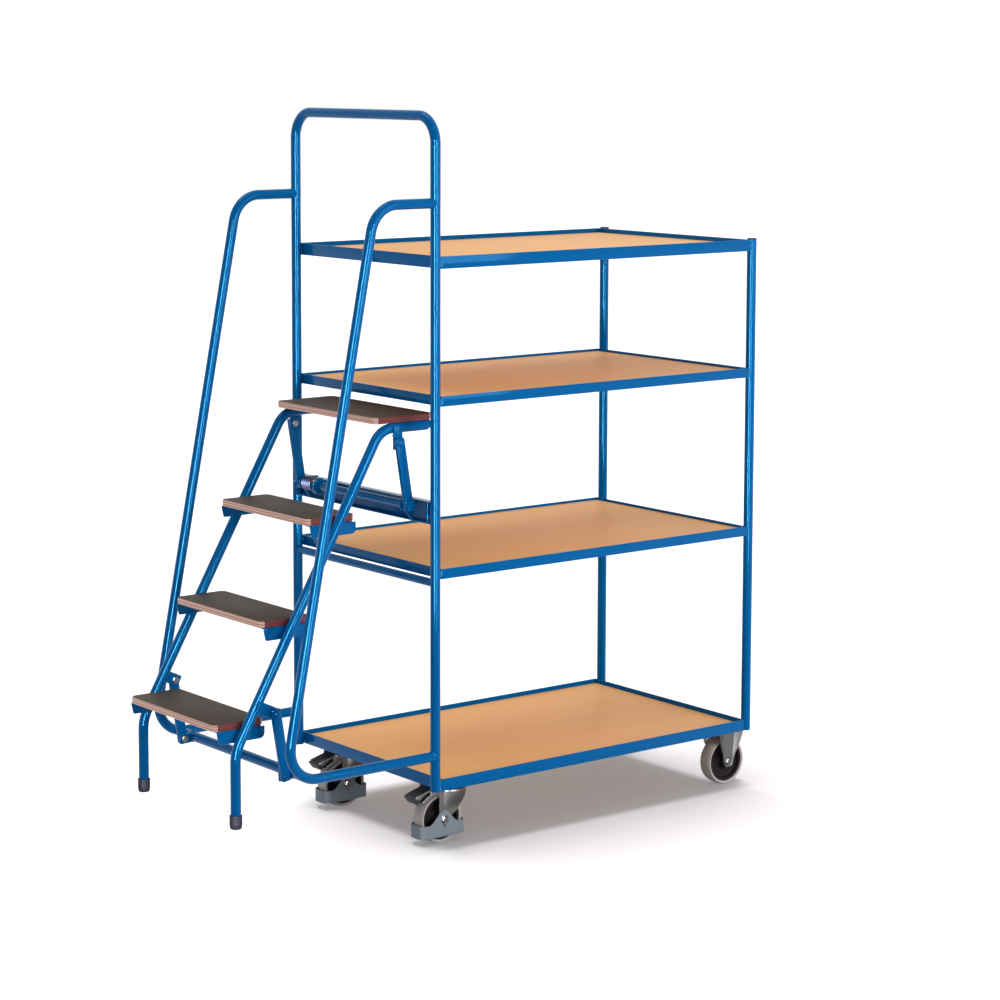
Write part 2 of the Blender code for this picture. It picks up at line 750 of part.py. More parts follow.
def weld_bearings(channel, finish, parent):
    """Two plates on the channel's flanges in which the lift shaft turns."""
    centre = (-UPPER_PIVOT_REACH, UPPER_PIVOT_HEIGHT)
    seat, base = CHANNEL_FRONT_X + WELD * 2, CHANNEL_TOP - CHANNEL_HEIGHT + WELD
    outline = [Vector((seat, base)), Vector((seat, CHANNEL_TOP - WELD))]
    outline += arc(centre, LUG_NOSE, QUARTER, QUARTER * 3, ROUND_STEPS)
    outline.append(Vector((CHANNEL_FRONT_X - WELD, base)))
    for _, side in SIDES:
        bm = bmesh.new()
        faces = (side * (LUG_Y - LUG), side * LUG_Y)
        add_plate(bm, outline, *faces, upright, (round_hole(centre, SHAFT / 2 + RUN, SHAFT_SIDES),))
        combine(channel, add_object(bm, "bearing", finish, parent), "UNION")


def lift_shaft(finish, parent):
    """Shaft that joins the upper links, with the spring's collar and end nuts."""
    shoulder = LINK_Y - FIT
    nut = LINK_FACE_Y + FIT
    ends = (
        (nut + SHAFT_NUT_HEIGHT, SHAFT_NUT, True), (nut, SHAFT_NUT, True),
        (nut, SHAFT_STUB, False), (shoulder, SHAFT_STUB, False), (shoulder, SHAFT, False),
    )
    stations = [(-place, across, is_hexagon) for place, across, is_hexagon in ends]
    collar_end = COLLAR_PLACE + COLLAR_WIDTH
    stations += [
        (COLLAR_PLACE, SHAFT, False), (COLLAR_PLACE, COLLAR, False),
        (collar_end, COLLAR, False), (collar_end, SHAFT, False),
    ]
    stations += reversed(ends)
    bm = bmesh.new()
    add_bolt(bm, stations, SHAFT_SIDES, (0, 0, 0))
    shaft = add_object(bm, "lift_shaft", finish, parent)
    head = COLLAR / 2 - WELD
    screw = ((-head - COLLAR_BOLT_HEIGHT, COLLAR_BOLT, True), (-head, COLLAR_BOLT, True))
    bm = bmesh.new()
    add_bolt(bm, screw, BOLT_SIDES, (0, COLLAR_PLACE + COLLAR_WIDTH / 2, 0), "X")
    combine(shaft, add_object(bm, "screw", finish, parent), "UNION")


def spring_path():
    """Centre line of the torsion spring, from the collar to its leg on the channel."""
    radius = SPRING_COIL / 2
    start_y = COLLAR_PLACE + COLLAR_WIDTH + FIT
    first_y = start_y + SPRING_FOOT
    count = SPRING_TURNS * COIL_STEPS
    coil = []
    for step in range(count + 1):
        angle = QUARTER + FULL_TURN * (count - step) / COIL_STEPS
        y = first_y + SPRING_PITCH * step / COIL_STEPS
        coil.append(Vector((radius * math.cos(angle), y, radius * math.sin(angle))))
    foot = Vector((coil[0].x, start_y, coil[0].z))
    bend = arc_corner(foot, coil[0], coil[1], SPRING_WIRE, CORNER_STEPS)
    tip = coil[-1] + Vector((SPRING_LEG, 0, 0))
    return [foot, *bend, *coil[1:], tip]


def least_gap(points, wire):
    """Smallest gap between turns of a wire, measured on points along its path."""
    gap = math.inf
    for first in range(len(points)):
        for second in range(first + COIL_STEPS - 2, len(points)):
            gap = min(gap, (points[first] - points[second]).length - wire)
    return gap


def torsion_spring(finish, parent):
    """Torsion spring round the lift shaft, one unbroken wire."""
    points = spring_path()
    print(f"least gap of the torsion spring to itself: {least_gap(points, SPRING_WIRE):.5f} m")
    at = (-UPPER_PIVOT_REACH, 0, UPPER_PIVOT_HEIGHT)
    add_tube("torsion_spring", points, SPRING_WIRE / 2, finish, parent, at, rings=1)


# Links

def link(name, side, bottom_hole, finish, parent):
    """Flat link with round ends, from its lower pivot to its upper pivot."""
    bottom, top = (0, 0), (-LINK_OUT, LINK_RISE)
    outline = twin_round(bottom, LINK_WIDTH / 2, top, LINK_WIDTH / 2)
    holes = (round_hole(bottom, bottom_hole), round_hole(top, PIVOT_BOLT / 2 + RUN))
    bm = bmesh.new()
    add_plate(bm, outline, side * LINK_Y, side * LINK_FACE_Y, upright, holes)
    add_object(bm, name, finish, parent)


# Ladder, placed from the upper links' upper pivot

def from_pivot(point):
    """Point of the trolley as seen from the ladder's upper pivot."""
    return Vector(point) - LADDER_PIVOT


def stringer(side_name, side, finish, parent):
    """Bent side tube of the ladder, with the plates of both link pivots welded outside."""
    base = FOOT_RAISED + FOOT_SOLE + FIT
    corners = (
        (-LEG_REACH, 0, base), (-LEG_REACH, 0, LEG_CORNER_HEIGHT),
        (-LADDER_TOP_REACH, 0, LADDER_TOP_HEIGHT), (LADDER_TOP_RUN, 0, LADDER_TOP_HEIGHT),
    )
    across = Vector((0, side * STRINGER_Y, 0))
    path = bent([from_pivot(corner) + across for corner in corners], (LEG_BEND, LADDER_TOP_BEND))
    tube = add_tube(f"stringer_{side_name}", path, TUBE_R, finish, parent)
    seat = (0, LADDER_TOP_HEIGHT - LUG_SEAT - LADDER_PIVOT.z)
    weld_lug(tube, (0, 0), LUG_NOSE, seat, LUG_NOSE, side, parent)
    pivot = from_pivot(BRACKET_PIVOT)
    root_height = BRACKET_PIVOT.z + BRACKET_RAISE
    root = from_pivot((-slope_reach(root_height), 0, root_height))
    weld_lug(tube, (pivot.x, pivot.z), BRACKET_NOSE, (root.x, root.z), LUG_NOSE, side, parent)


def ladder_foot(side_name, side, finish, parent):
    """Rubber cup over the lower end of a stringer."""
    outer, bore = FOOT / 2, TUBE_R + FIT
    profile = (
        (0, 0), (outer - FOOT_EDGE, 0), (outer, FOOT_EDGE), (outer, FOOT_HEIGHT),
        (bore, FOOT_HEIGHT), (bore, FOOT_SOLE), (0, FOOT_SOLE),
    )
    bm = bmesh.new()
    add_turned(bm, profile, TURN_SIDES)
    at = from_pivot((-LEG_REACH, side * STRINGER_Y, FOOT_RAISED))
    add_object(bm, f"ladder_foot_{side_name}", finish, parent, at)


def tread(number, finish, parent):
    """Plywood tread with clipped corners."""
    if number == 4:
        length, width = TOP_TREAD_DEPTH, (STRINGER_Y + TOP_TREAD_OVERHANG) * 2
        middle = TOP_TREAD_BACK - TOP_TREAD_DEPTH / 2
    else:
        length, width = TREAD_DEPTH, (STRINGER_Y - TUBE_R - TREAD_END_GAP) * 2
        middle = tread_middle_x(number)
    bm = bmesh.new()
    add_plate(bm, clipped_rectangle(length, width, TREAD_CLIP), -TREAD, 0, level)
    result = add_object(bm, f"tread_{number}", finish, parent, from_pivot((middle, 0, tread_top(number))))
    break_edges(result)


def tread_bracket(number, side_name, side, finish, parent):
    """Ledge and rounded cheek under one end of a lower tread, welded inside a stringer."""
    cheek_face = STRINGER_Y - TUBE_R - FIT
    middle = from_pivot((tread_middle_x(number), 0, tread_top(number)))
    top = middle.z - TREAD - FIT
    ledge = [(x + middle.x, y + side * (cheek_face - LEDGE_WIDTH / 2))
             for x, y in rectangle(TREAD_DEPTH - TREAD_CLIP * 2, LEDGE_WIDTH)]
    bm = bmesh.new()
    add_plate(bm, ledge, top - LEDGE, top, level)
    bracket = add_object(bm, f"tread_bracket_{number}_{side_name}", finish, parent)
    corners = [Vector((middle.x + x * TREAD_DEPTH, top - WELD + z * CHEEK_DROP)) for x, z in CHEEK_SHARES]
    outline = [corners[0]]
    for index in (1, 2, 3, 4):
        radius = CHEEK_CORNER if index in (2, 3) else CHEEK
        outline += arc_corner(*corners[index - 1:index + 2], radius, CORNER_STEPS)
    outline.append(corners[-1])
    bm = bmesh.new()
    add_plate(bm, outline, side * (cheek_face - CHEEK), side * cheek_face)
    combine(bracket, add_object(bm, "cheek", finish, parent), "UNION")


# Wheels, placed from their axle

def wheel(kind, side_name, finishes, parent, at):
    """Core with hub, web and rim, and the tyre round it."""
    core_r = WHEEL_R - TYRE
    rim_r = core_r - CORE_RIM
    hub_r, bore = HUB / 2, AXLE / 2 + RUN
    hub, web, rim = HUB_WIDTH / 2, CORE_WEB / 2, CORE_WIDTH / 2
    half = (
        (bore, hub), (hub_r, hub), (hub_r, web + CORE_RIM), (hub_r + CORE_RIM, web),
        (rim_r - CORE_RIM, web), (rim_r, rim), (core_r, rim),
    )
    bm = bmesh.new()
    add_turned(bm, [*half, *[(radius, -height) for radius, height in reversed(half)]], WHEEL_SIDES, "Y")
    add_object(bm, f"{kind}_core_{side_name}", finishes["core"], parent, at)
    inner, wall, flat = core_r + FIT, TYRE_WIDTH / 2, TREAD_FLAT / 2
    shoulder = TYRE / 4
    half = (
        (inner, rim), (inner + shoulder, wall), (WHEEL_R - shoulder * 2, wall),
        (WHEEL_R - shoulder / 2, (wall + flat * 2) / 3), (WHEEL_R, flat),
    )
    bm = bmesh.new()
    add_turned(bm, [*half, *[(radius, -height) for radius, height in reversed(half)]], WHEEL_SIDES, "Y")
    add_object(bm, f"{kind}_tyre_{side_name}", finishes["tyre"], parent, at)


def axle_stations(outer):
    """Stations of an axle bolt whose head and nut bear on faces at a distance."""
    half = ((outer + AXLE_HEAD_HEIGHT, AXLE_HEAD, True), (outer, AXLE_HEAD, True), (outer, AXLE, False))
    start = [(-place, across, is_hexagon) for place, across, is_hexagon in half]
    return start + list(reversed(half))


# Swivel castors, placed from the floor below the kingpin

def swivel_plate(side_name, finish, parent, at):
    """Bolted plate with the upper race, the kingpin and its nut."""
    top = DECK_HEIGHT - FIT
    base = top - PLATE
    race_base = base - RACE_HEIGHT
    nut_top = race_base - RUN - FORK_WALL - RUN
    bm = bmesh.new()
    add_plate(bm, rounded(rectangle(PLATE_LENGTH, PLATE_WIDTH), PLATE_CORNER), base, top, level)
    plate = add_object(bm, f"swivel_plate_{side_name}", finish, parent, at)
    profile = (
        (0, base + WELD), (RACE / 2, base + WELD), (RACE / 2, race_base), (KINGPIN / 2, race_base),
        (KINGPIN / 2, nut_top), (KINGPIN_NUT / 2, nut_top),
        (KINGPIN_NUT / 2, nut_top - KINGPIN_NUT_HEIGHT), (0, nut_top - KINGPIN_NUT_HEIGHT),
    )
    bm = bmesh.new()
    add_turned(bm, profile, DISH_SIDES)
    combine(plate, add_object(bm, "race", finish, parent, at), "UNION")


def dish_profile():
    """Pressed dish under the race: flat top, sloping shoulder and short skirt."""
    top = FORK_TOP
    bore = KINGPIN / 2 + RUN
    shoulder = DISH / 2 - DISH_TOP / 2
    return (
        (bore, top), (DISH_TOP / 2, top), (DISH / 2, top - shoulder), (DISH / 2, top - DISH_HEIGHT),
        (DISH / 2 - FORK_WALL, top - DISH_HEIGHT), (DISH / 2 - FORK_WALL, top - shoulder - FORK_WALL),
        (DISH_TOP / 2 - FORK_WALL / 2, top - FORK_WALL), (bore, top - FORK_WALL),
    )


def fork_cheek_outline():
    """Outline of a swivel fork's cheek about the axle: leg, crown, ear and arch."""
    crown = FORK_RISE
    boss = arc((0, 0), BOSS / 2, -QUARTER * 2, 0, ROUND_STEPS)
    flank = scaled(LEG_FLANK_SHARES, WHEEL_R)
    ear_centre = (-PEDAL_BACK, PEDAL_RAISE)
    ear = arc(ear_centre, EAR, EAR_START, EAR_END, ROUND_STEPS)
    arch_centre = (-ARCH_SHIFT, 0)
    outer = arc(arch_centre, ARCH, ARCH_TOP, ARCH_BACK, ROUND_STEPS)
    inner = arc(arch_centre, ARCH - ARCH_BAND, ARCH_BACK, ARCH_ROOT, ROUND_STEPS)
    corner = Vector((DISH_TOP / 2 + TRAIL - FORK_WALL, crown))
    edge = Vector((LEG_EDGE_SHARE * WHEEL_R, inner[-1].y))
    crown_end = Vector((ear[0].x, crown))
    return boss + flank + [corner, crown_end] + ear[1:] + outer + inner + [edge]


def swivel_fork(side_name, finish, parent):
    """Dish, two cheeks and the arch over the wheel as one fork, with the pedal's pin."""
    bm = bmesh.new()
    add_turned(bm, dish_profile(), DISH_SIDES)
    fork = add_object(bm, f"swivel_fork_{side_name}", finish, parent)
    outline = [point + Vector((-TRAIL, WHEEL_R)) for point in fork_cheek_outline()]
    holes = (round_hole((-TRAIL, WHEEL_R), AXLE / 2 + FIT),)
    for _, side in SIDES:
        bm = bmesh.new()
        add_plate(bm, outline, side * FORK_GAP / 2, side * FORK_FACE, upright, holes)
        combine(fork, add_object(bm, "cheek", finish, parent), "UNION")
    centre = (-TRAIL - ARCH_SHIFT, WHEEL_R)
    outer = arc(centre, ARCH - FIT, ARCH_FRONT, ARCH_SHEET_BACK, ROUND_STEPS)
    inner = arc(centre, ARCH - ARCH_SHEET, ARCH_SHEET_BACK, ARCH_FRONT, ROUND_STEPS)
    lap = FORK_GAP / 2 + FORK_WALL / 2
    bm = bmesh.new()
    add_plate(bm, outer + inner, -lap, lap)
    combine(fork, add_object(bm, "arch", finish, parent), "UNION")
    reach = FORK_FACE + FORK_WALL
    pin = ((-reach, PEDAL_PIN, False), (reach, PEDAL_PIN, False))
    bm = bmesh.new()
    add_bolt(bm, pin, BOLT_SIDES, (-TRAIL - PEDAL_BACK, 0, WHEEL_R + PEDAL_RAISE))
    combine(fork, add_object(bm, "pin", finish, parent), "UNION")


def swivel_axle(side_name, finish, parent):
    """Axle bolt of a swivel castor, through guard, fork and wheel."""
    bm = bmesh.new()
    add_bolt(bm, axle_stations(GUARD_FACE + FIT), BOLT_SIDES, (-TRAIL, 0, WHEEL_R))
    add_object(bm, f"swivel_axle_{side_name}", finish, parent)


def guard_edges(x):
    """Lower and upper edge of the foot guard, from the axle, at a place along it."""
    half = GUARD_LENGTH / 2
    bulge = (x / half) ** 2
    base = -GUARD_BAND_BASE - GUARD_SAG * (1 - bulge)
    top = -GUARD_BAND_TOP - GUARD_LIFT * (1 - bulge)
    share = min(abs(x) / GUARD_CROWN_SPAN, 1)
    return base, top + GUARD_CROWN * (1 + math.cos(share * QUARTER * 2)) / 2


def guard_plan(inset):
    """Plan of the foot guard as a closed rounded hoop, its long sides in steps."""
    x, y = GUARD_LENGTH / 2 - inset, GUARD_FACE - inset
    radius = GUARD_CORNER - inset
    straight = x - radius
    points = []
    for side in (-1, 1):
        for step in range(1, CROWN_STEPS):
            points.append(Vector((side * straight * (1 - 2 * step / CROWN_STEPS), side * y)))
        for row, start in ((side, QUARTER * side), (-side, QUARTER * side + QUARTER)):
            middle = (-side * straight, row * (y - radius))
            points += arc(middle, radius, start, start + QUARTER, CORNER_STEPS)
    return points


def foot_guard(side_name, finish, parent):
    """Hoop round the wheel, raised to a rounded crown over the axle on both sides."""
    sections = []
    for outer, inner in zip(guard_plan(0), guard_plan(GUARD_WALL)):
        base, top = guard_edges(outer.x)
        sections.append([level(outer, base), level(outer, top), level(inner, top), level(inner, base)])
    bm = bmesh.new()
    add_loft(bm, sections, closed=True)
    at = (-TRAIL + GUARD_SHIFT, 0, WHEEL_R)
    guard = add_object(bm, f"foot_guard_{side_name}", finish, parent, at)
    bm = bmesh.new()
    reach = GUARD_FACE + OVERRUN
    profile = ((0, -reach), (AXLE / 2 + FIT, -reach), (AXLE / 2 + FIT, reach), (0, reach))
    add_turned(bm, profile, BOLT_SIDES, "Y")
    cutter = add_object(bm, "axle_cutter", finish, parent, (-TRAIL, 0, WHEEL_R))
    combine(guard, cutter, "DIFFERENCE")


def brake_pedal(side_name, finish, parent):
    """Foot pedal hinged between the ears of the fork."""
    pivot = Vector((-PEDAL_BACK, PEDAL_RAISE))
    eye = arc((0, 0), PEDAL_EYE, -QUARTER, QUARTER, ROUND_STEPS)
    outline = eye + [point - pivot for point in scaled(PEDAL_SHARES, WHEEL_R)]
    half = PEDAL_WIDTH / 2
    bm = bmesh.new()
    add_plate(bm, outline, -half, half, upright, (round_hole((0, 0), PEDAL_PIN / 2 + RUN),))
    at = (-TRAIL - PEDAL_BACK, 0, WHEEL_R + PEDAL_RAISE)
    add_object(bm, f"brake_pedal_{side_name}", finish, parent, at)


def swivel_castor(side_name, side, finishes, parent):
    """One swivel castor with total lock under the ladder end."""
    at = (KINGPIN_X, side * (POST_Y - SWIVEL_INSET), 0)
    swivel_plate(side_name, finishes["zinc"], parent, at)
    kingpin = add_axis(f"kingpin_axis_{side_name}", parent, at)
    swivel_fork(side_name, finishes["zinc"], kingpin)
    foot_guard(side_name, finishes["guard"], kingpin)
    swivel_axle(side_name, finishes["zinc"], kingpin)
    brake_pedal(side_name, finishes["pedal"], kingpin)
    wheel("swivel", side_name, finishes, kingpin, (-TRAIL, 0, WHEEL_R))


# Fixed castors, placed from the floor below the axle

def fixed_leg_section(rise, web, wing_along, wing_out, side):
    """Level section of a fixed fork's leg: flat web and two wings spread outward."""
    inner = FORK_GAP / 2
    x = web * WHEEL
    along = wing_along * WHEEL
    out = wing_out * WHEEL
    plan = (
        (-x, inner), (x, inner), (x + along, inner + out), (x + along, inner + out + FORK_WALL),
        (x, inner + FORK_WALL), (-x, inner + FORK_WALL),
        (-x - along, inner + out + FORK_WALL), (-x - along, inner + out),
    )
    return [Vector((px, side * py, WHEEL_R + rise * FIXED_LEG_RISE)) for px, py in plan]


def fixed_fork(side_name, finish, parent, at):
    """Top plate and two winged legs as one pressed fork, with the axle bolt."""
    top = DECK_HEIGHT - FIT
    bm = bmesh.new()
    add_plate(bm, rounded(rectangle(PLATE_LENGTH, PLATE_WIDTH), PLATE_CORNER), top - PLATE, top, level)
    fork = add_object(bm, f"fixed_fork_{side_name}", finish, parent, at)
    for _, side in SIDES:
        bm = bmesh.new()
        add_loft(bm, [fixed_leg_section(*shares, side) for shares in FIXED_LEG_SHARES])
        combine(fork, add_object(bm, "leg", finish, parent, at), "UNION")
    bm = bmesh.new()
    add_bolt(bm, axle_stations(FORK_FACE - FIT), BOLT_SIDES, (0, 0, WHEEL_R))
    combine(fork, add_object(bm, "axle", finish, parent, at), "UNION")


def fixed_castor(side_name, side, finishes, parent):
    """One fixed castor under the rear end."""
    at = Vector((FIXED_AXLE_X, side * (POST_Y - FIXED_INSET), 0))
    fixed_fork(side_name, finishes["zinc"], parent, at)
    wheel("fixed", side_name, finishes, parent, at + Vector((0, 0, WHEEL_R)))


# Assembly

def build_rack(finishes, trolley):
    """Posts, shelves, handrails and ties."""
    paint = finishes["paint"]
    handle_frame(paint, trolley)
    for number, (height, rim) in enumerate(SHELVES, 1):
        shelf_frame(number, height, rim, paint, trolley)
        shelf_board(number, height, finishes["beech"], trolley)
    for side_name, side in SIDES:
        rear_post(side_name, side, paint, finishes["cap"], trolley)
        handrail(side_name, side, paint, trolley)
    rail_tie(paint, trolley)
    shelf_stay(paint, trolley)
    lift_channel(paint, trolley)
    torsion_spring(finishes["spring"], trolley)


def build_links(finishes, trolley):
    """Upper links with their shaft, and lower links, about their lower pivots."""
    paint = finishes["paint"]
    upper = add_axis("upper_link_axis", trolley, (-UPPER_PIVOT_REACH, 0, UPPER_PIVOT_HEIGHT))
    lower = add_axis("lower_link_axis", trolley, (-LOWER_PIVOT_REACH, 0, LOWER_PIVOT_HEIGHT))
    lift_shaft(finishes["zinc"], upper)
    for side_name, side in SIDES:
        link(f"upper_link_{side_name}", side, SHAFT_STUB / 2 + FIT, paint, upper)
        link(f"lower_link_{side_name}", side, PIVOT_BOLT / 2 + RUN, paint, lower)


def build_ladder(finishes, trolley):
    """Ladder about the upper links' upper pivot."""
    ladder = add_axis("ladder_axis", trolley, LADDER_PIVOT)
    for side_name, side in SIDES:
        stringer(side_name, side, finishes["paint"], ladder)
        ladder_foot(side_name, side, finishes["rubber"], ladder)
        for number in (1, 2, 3):
            tread_bracket(number, side_name, side, finishes["paint"], ladder)
    for number in (1, 2, 3, 4):
        tread(number, finishes["film"], ladder)


def main():
    """Build the trolley in an empty scene."""
    for item in list(bpy.data.objects):
        bpy.data.objects.remove(item)
    finishes = make_materials()
    trolley = add_axis("trolley", None, (-CENTRE_X, 0, 0))
    build_rack(finishes, trolley)
    build_links(finishes, trolley)
    build_ladder(finishes, trolley)
    for side_name, side in SIDES:
        swivel_castor(side_name, side, finishes, trolley)
        fixed_castor(side_name, side, finishes, trolley)


main()
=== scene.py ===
import json
import math

import bmesh
import bpy
from mathutils import Matrix, Vector

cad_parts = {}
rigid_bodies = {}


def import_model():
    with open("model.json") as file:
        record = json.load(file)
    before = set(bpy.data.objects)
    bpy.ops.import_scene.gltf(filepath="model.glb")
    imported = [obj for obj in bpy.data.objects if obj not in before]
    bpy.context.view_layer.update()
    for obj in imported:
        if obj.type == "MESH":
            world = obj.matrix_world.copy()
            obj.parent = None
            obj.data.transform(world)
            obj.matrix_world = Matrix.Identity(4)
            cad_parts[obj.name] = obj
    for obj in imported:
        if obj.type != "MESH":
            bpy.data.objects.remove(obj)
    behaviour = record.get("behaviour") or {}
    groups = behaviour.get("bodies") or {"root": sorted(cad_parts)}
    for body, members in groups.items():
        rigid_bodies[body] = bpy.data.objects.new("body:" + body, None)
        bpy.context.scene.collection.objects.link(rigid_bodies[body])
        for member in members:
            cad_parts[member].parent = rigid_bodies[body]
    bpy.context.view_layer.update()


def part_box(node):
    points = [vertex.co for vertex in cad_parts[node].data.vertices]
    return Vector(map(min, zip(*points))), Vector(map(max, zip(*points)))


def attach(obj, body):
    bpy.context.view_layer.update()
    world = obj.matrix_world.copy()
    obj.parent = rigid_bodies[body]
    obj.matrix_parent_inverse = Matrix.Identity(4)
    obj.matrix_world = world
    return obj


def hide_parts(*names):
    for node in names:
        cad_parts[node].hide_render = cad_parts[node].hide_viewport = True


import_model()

bl_info = {
    "name": "Order picking trolley",
    "version": (1, 0, 0),
    "blender": (4, 5, 0),
    "location": "View3D > Sidebar > Trolley",
    "description": "Dresses the packed trolley in welded, moulded and turned pieces",
    "category": "Object",
}

FULL_TURN = math.tau
QUARTER = math.pi / 2
TINY = 1e-6
WAYS = (-1, 1)
SIDES = (("right", -1), ("left", 1))

# Clearances and welds, metres as all lengths here
FIT = 0.0003
RUN = 0.0005
SIDE_RUN = 0.001
WELD = 0.0015
SEAM_INSET = 0.0021
# Radii of the weld beads as shares of the size in the panel
BEAD, LUG_BEAD, THIN_BEAD = 0.8, 0.75, 0.7
# Shares of that size by which beads stand off a face
BEAD_OUT, BEAD_ASIDE, CHEEK_BEAD_OUT = 0.2, 0.3, 0.1
BEAD_RIPPLE = 0.18
BEAD_PITCH = 0.0035

# Rounding of plate rims
FLAT_EDGE, THIN_EDGE, SHEET_EDGE, CHEEK_EDGE = 0.0004, 0.0005, 0.0006, 0.0007
LINK_EDGE = 0.0012

# Bolt heads: shares of the height for the washer, its rim and the bevel, then the bevel's width
WASHER_RISE, WASHER_RIM, BEVEL_RISE, BEVEL_SHARE = 0.22, 0.8, 0.82, 0.87

# Tube, angle frames and boards
TUBE_R = 0.0125
TUBE_WALL = 0.002
SEATED = TUBE_R * 0.4
FRAME_LEG = 0.030
FRAME_WALL = 0.003
ANGLE_CORNERS = (0.0010, 0.0005, 0.0015, 0.0022, 0.0015, 0.0005)
FRAME_CORNER = 0.0025
FRAME_WELD_SHARE = 0.46
BOARD_CORNER = 0.002
CASTOR_FLAT = 0.030
PLUG_DEPTH = 0.018
CAP_FLAT_SHARE = 0.72
CAP_ROUND_SHARE = 0.3

# Push handle and handrails, from the axis of the posts
HANDLE_BEND = 0.066
RAIL_TOP = 0.177
RAIL_FOOT = 0.441
RAIL_BEND = 0.076
TIE_LUG_R = 0.018
TIE_LUG_BACK = TUBE_R * 0.8

# Ladder
LADDER_TOP = 0.100
LADDER_END = 0.045
LADDER_END_CUT = 0.8
LADDER_BEND = 0.062
LEG_BEND = 0.100
SLOPE = math.radians(60)
SLOPE_RUN = Vector((math.cos(SLOPE), 0, math.sin(SLOPE)))
TREAD_CLIP = 0.010
TREAD_CORNER = 0.0015
TOP_FACING, END_FACING = 0.8, 0.9
LAST_TREAD_BACK = 0.008
LEDGE = 0.0035
LEDGE_WIDTH = 0.030
LEDGE_CORNER = 0.003
CHEEK = 0.0036
CHEEK_DROP = 0.029
CHEEK_SHARES = ((0.49, 0.0), (0.49, -1.0), (-0.42, -1.0), (-0.46, -0.16), (-0.46, 0.0))
CHEEK_CORNERS = (0.001, 0.013, 0.005, 0.003, 0.001)
CHEEK_SEAM = 0.010
CHEEK_SEAM_SHARE = 0.35
FOOT_SOLE = 0.006
FOOT_FLARE = 0.012
FOOT_SOLE_SHARE, FOOT_WAIST_SHARE = 0.9, 0.97
# Start of the foot's lip and its full width, below the rim
FOOT_LIP = (0.006, 0.004)
FOOT_CORNERS = (0, 0.004, 0.004, 0.002, 0.001, 0.0012, 0.0006, 0.0006, 0)

# Lugs, links and their pivots
LUG = 0.005
LUG_NOSE = 0.0165
LUG_SEAT = 0.010
LUG_HALF = 0.013
LUG_CORNER = 0.003
LUG_SEAM_SHARE = 0.52
LUG_SEAM_REACH = LUG_NOSE * 0.9
BRACKET_NOSE = 0.0145
BRACKET_RAISE = 0.020
LINK_R = 0.0125
LINK_CORNER = 0.005
LINK = 0.010
PIVOT_R = 0.005
NUT_ACROSS = 0.016
NUT_HEIGHT = 0.006
THREAD_SHARE, THREAD_END_SHARE = 0.8, 0.7
THREAD_END = 0.002
BUTTON_R = 0.0085
BUTTON_RISE = 0.003
BUTTON_SHARES = ((0, 0), (1.0, 0), (1.0, 0.3), (0.86, 0.72), (0.5, 0.96), (0, 1.0))

# Cross channel, lift shaft and torsion spring
CHANNEL_HEIGHT = 0.054
CHANNEL_CORNERS = (0.0006, 0.0045, 0.0045, 0.0006, 0.0006, 0.0016, 0.0016, 0.0006)
CHANNEL_SEAT_SHARE = 0.55
# Distance from the shaft and rise of a bearing's rim
BEARING_ROWS = ((RUN, 0), (0.0035, 0), (0.0030, 0.0018), (RUN, 0.002))
SHAFT_R = 0.010
SHAFT_BEVEL = 0.0008
STUB_R = 0.007
SHAFT_NUT = 0.024
SHAFT_NUT_HEIGHT = 0.008
COLLAR_R = 0.020
COLLAR_WIDTH = 0.010
COLLAR_INSET = 0.068
COLLAR_BOLT = 0.014
COLLAR_BOLT_HEIGHT = 0.005
COLLAR_BOLT_TURN = math.radians(50)
WIRE_R = 0.00225
COIL_R = 0.015
SPRING_PITCH = 0.0056
SPRING_TURNS = 7
SPRING_LEG = 0.036
SPRING_FOOT = 0.011

# Wheels: rises from an edge, each with its share of half the width
TYRE = 0.0085
TYRE_SEAT_ROWS = ((0, 0.88), (0.0012, 0.955), (0.0028, 0.985), (0.0040, 1), (0.0060, 0.99))
TYRE_TREAD_ROWS = ((0.0030, 0.90), (0.0014, 0.76), (0.0005, 0.56), (0, 0.30))
HUB_R = 0.017
HUB_FACE = 0.022
HUB_BEVEL_SHARE = 0.93
HUB_ROWS = ((0, 0.90), (0.001, 0.42), (0.006, 0.22))
RIM_ROWS = ((0.013, 0.22), (0.0085, 0.34), (0.006, 0.72), (0.0005, 0.76), (0, 0.72))
CORE_CORNERS = (0, 0.0006, 0.001, 0.003, 0.003, 0.003, 0.004, 0.0012, 0.0004, 0)
BUSH_R = 0.0095
PROUD = 0.0004
AXLE_R = 0.006
# Axle heads: width across flats, height, and washer as a share of the width
SWIVEL_AXLE_HEAD = (0.0168, 0.007, 1.22)
FIXED_AXLE_HEAD = (0.01785, 0.00595, 1.2)

# Castor plates, their bolts and the swivel head below them
PLATE_LENGTH = 0.105
PLATE_WIDTH = 0.085
PLATE = 0.004
PLATE_CORNER = 0.009
SWIVEL_BOLTS = (0.0425, 0.0335)
FIXED_BOLTS = (0.0455, 0.0235)
PLATE_BOLT = 0.010
PLATE_BOLT_HEIGHT = 0.0036
RACE_R = 0.028
RACE_HEIGHT = 0.0095
# Radius and rise, first from the plate's underside and then from the fork's top
RACE_ROWS = ((0, FIT), (0.026, FIT), (RACE_R, -0.0016), (RACE_R, -0.0040),
             (0.0268, -0.0046), (0.0268, -0.0052))
KINGPIN_NUT_R = 0.012
KINGPIN_ROWS = ((0.0276, 0.0012), (0.0262, RUN), (0.008, RUN), (0.008, -0.0040),
                (KINGPIN_NUT_R, -0.0040))

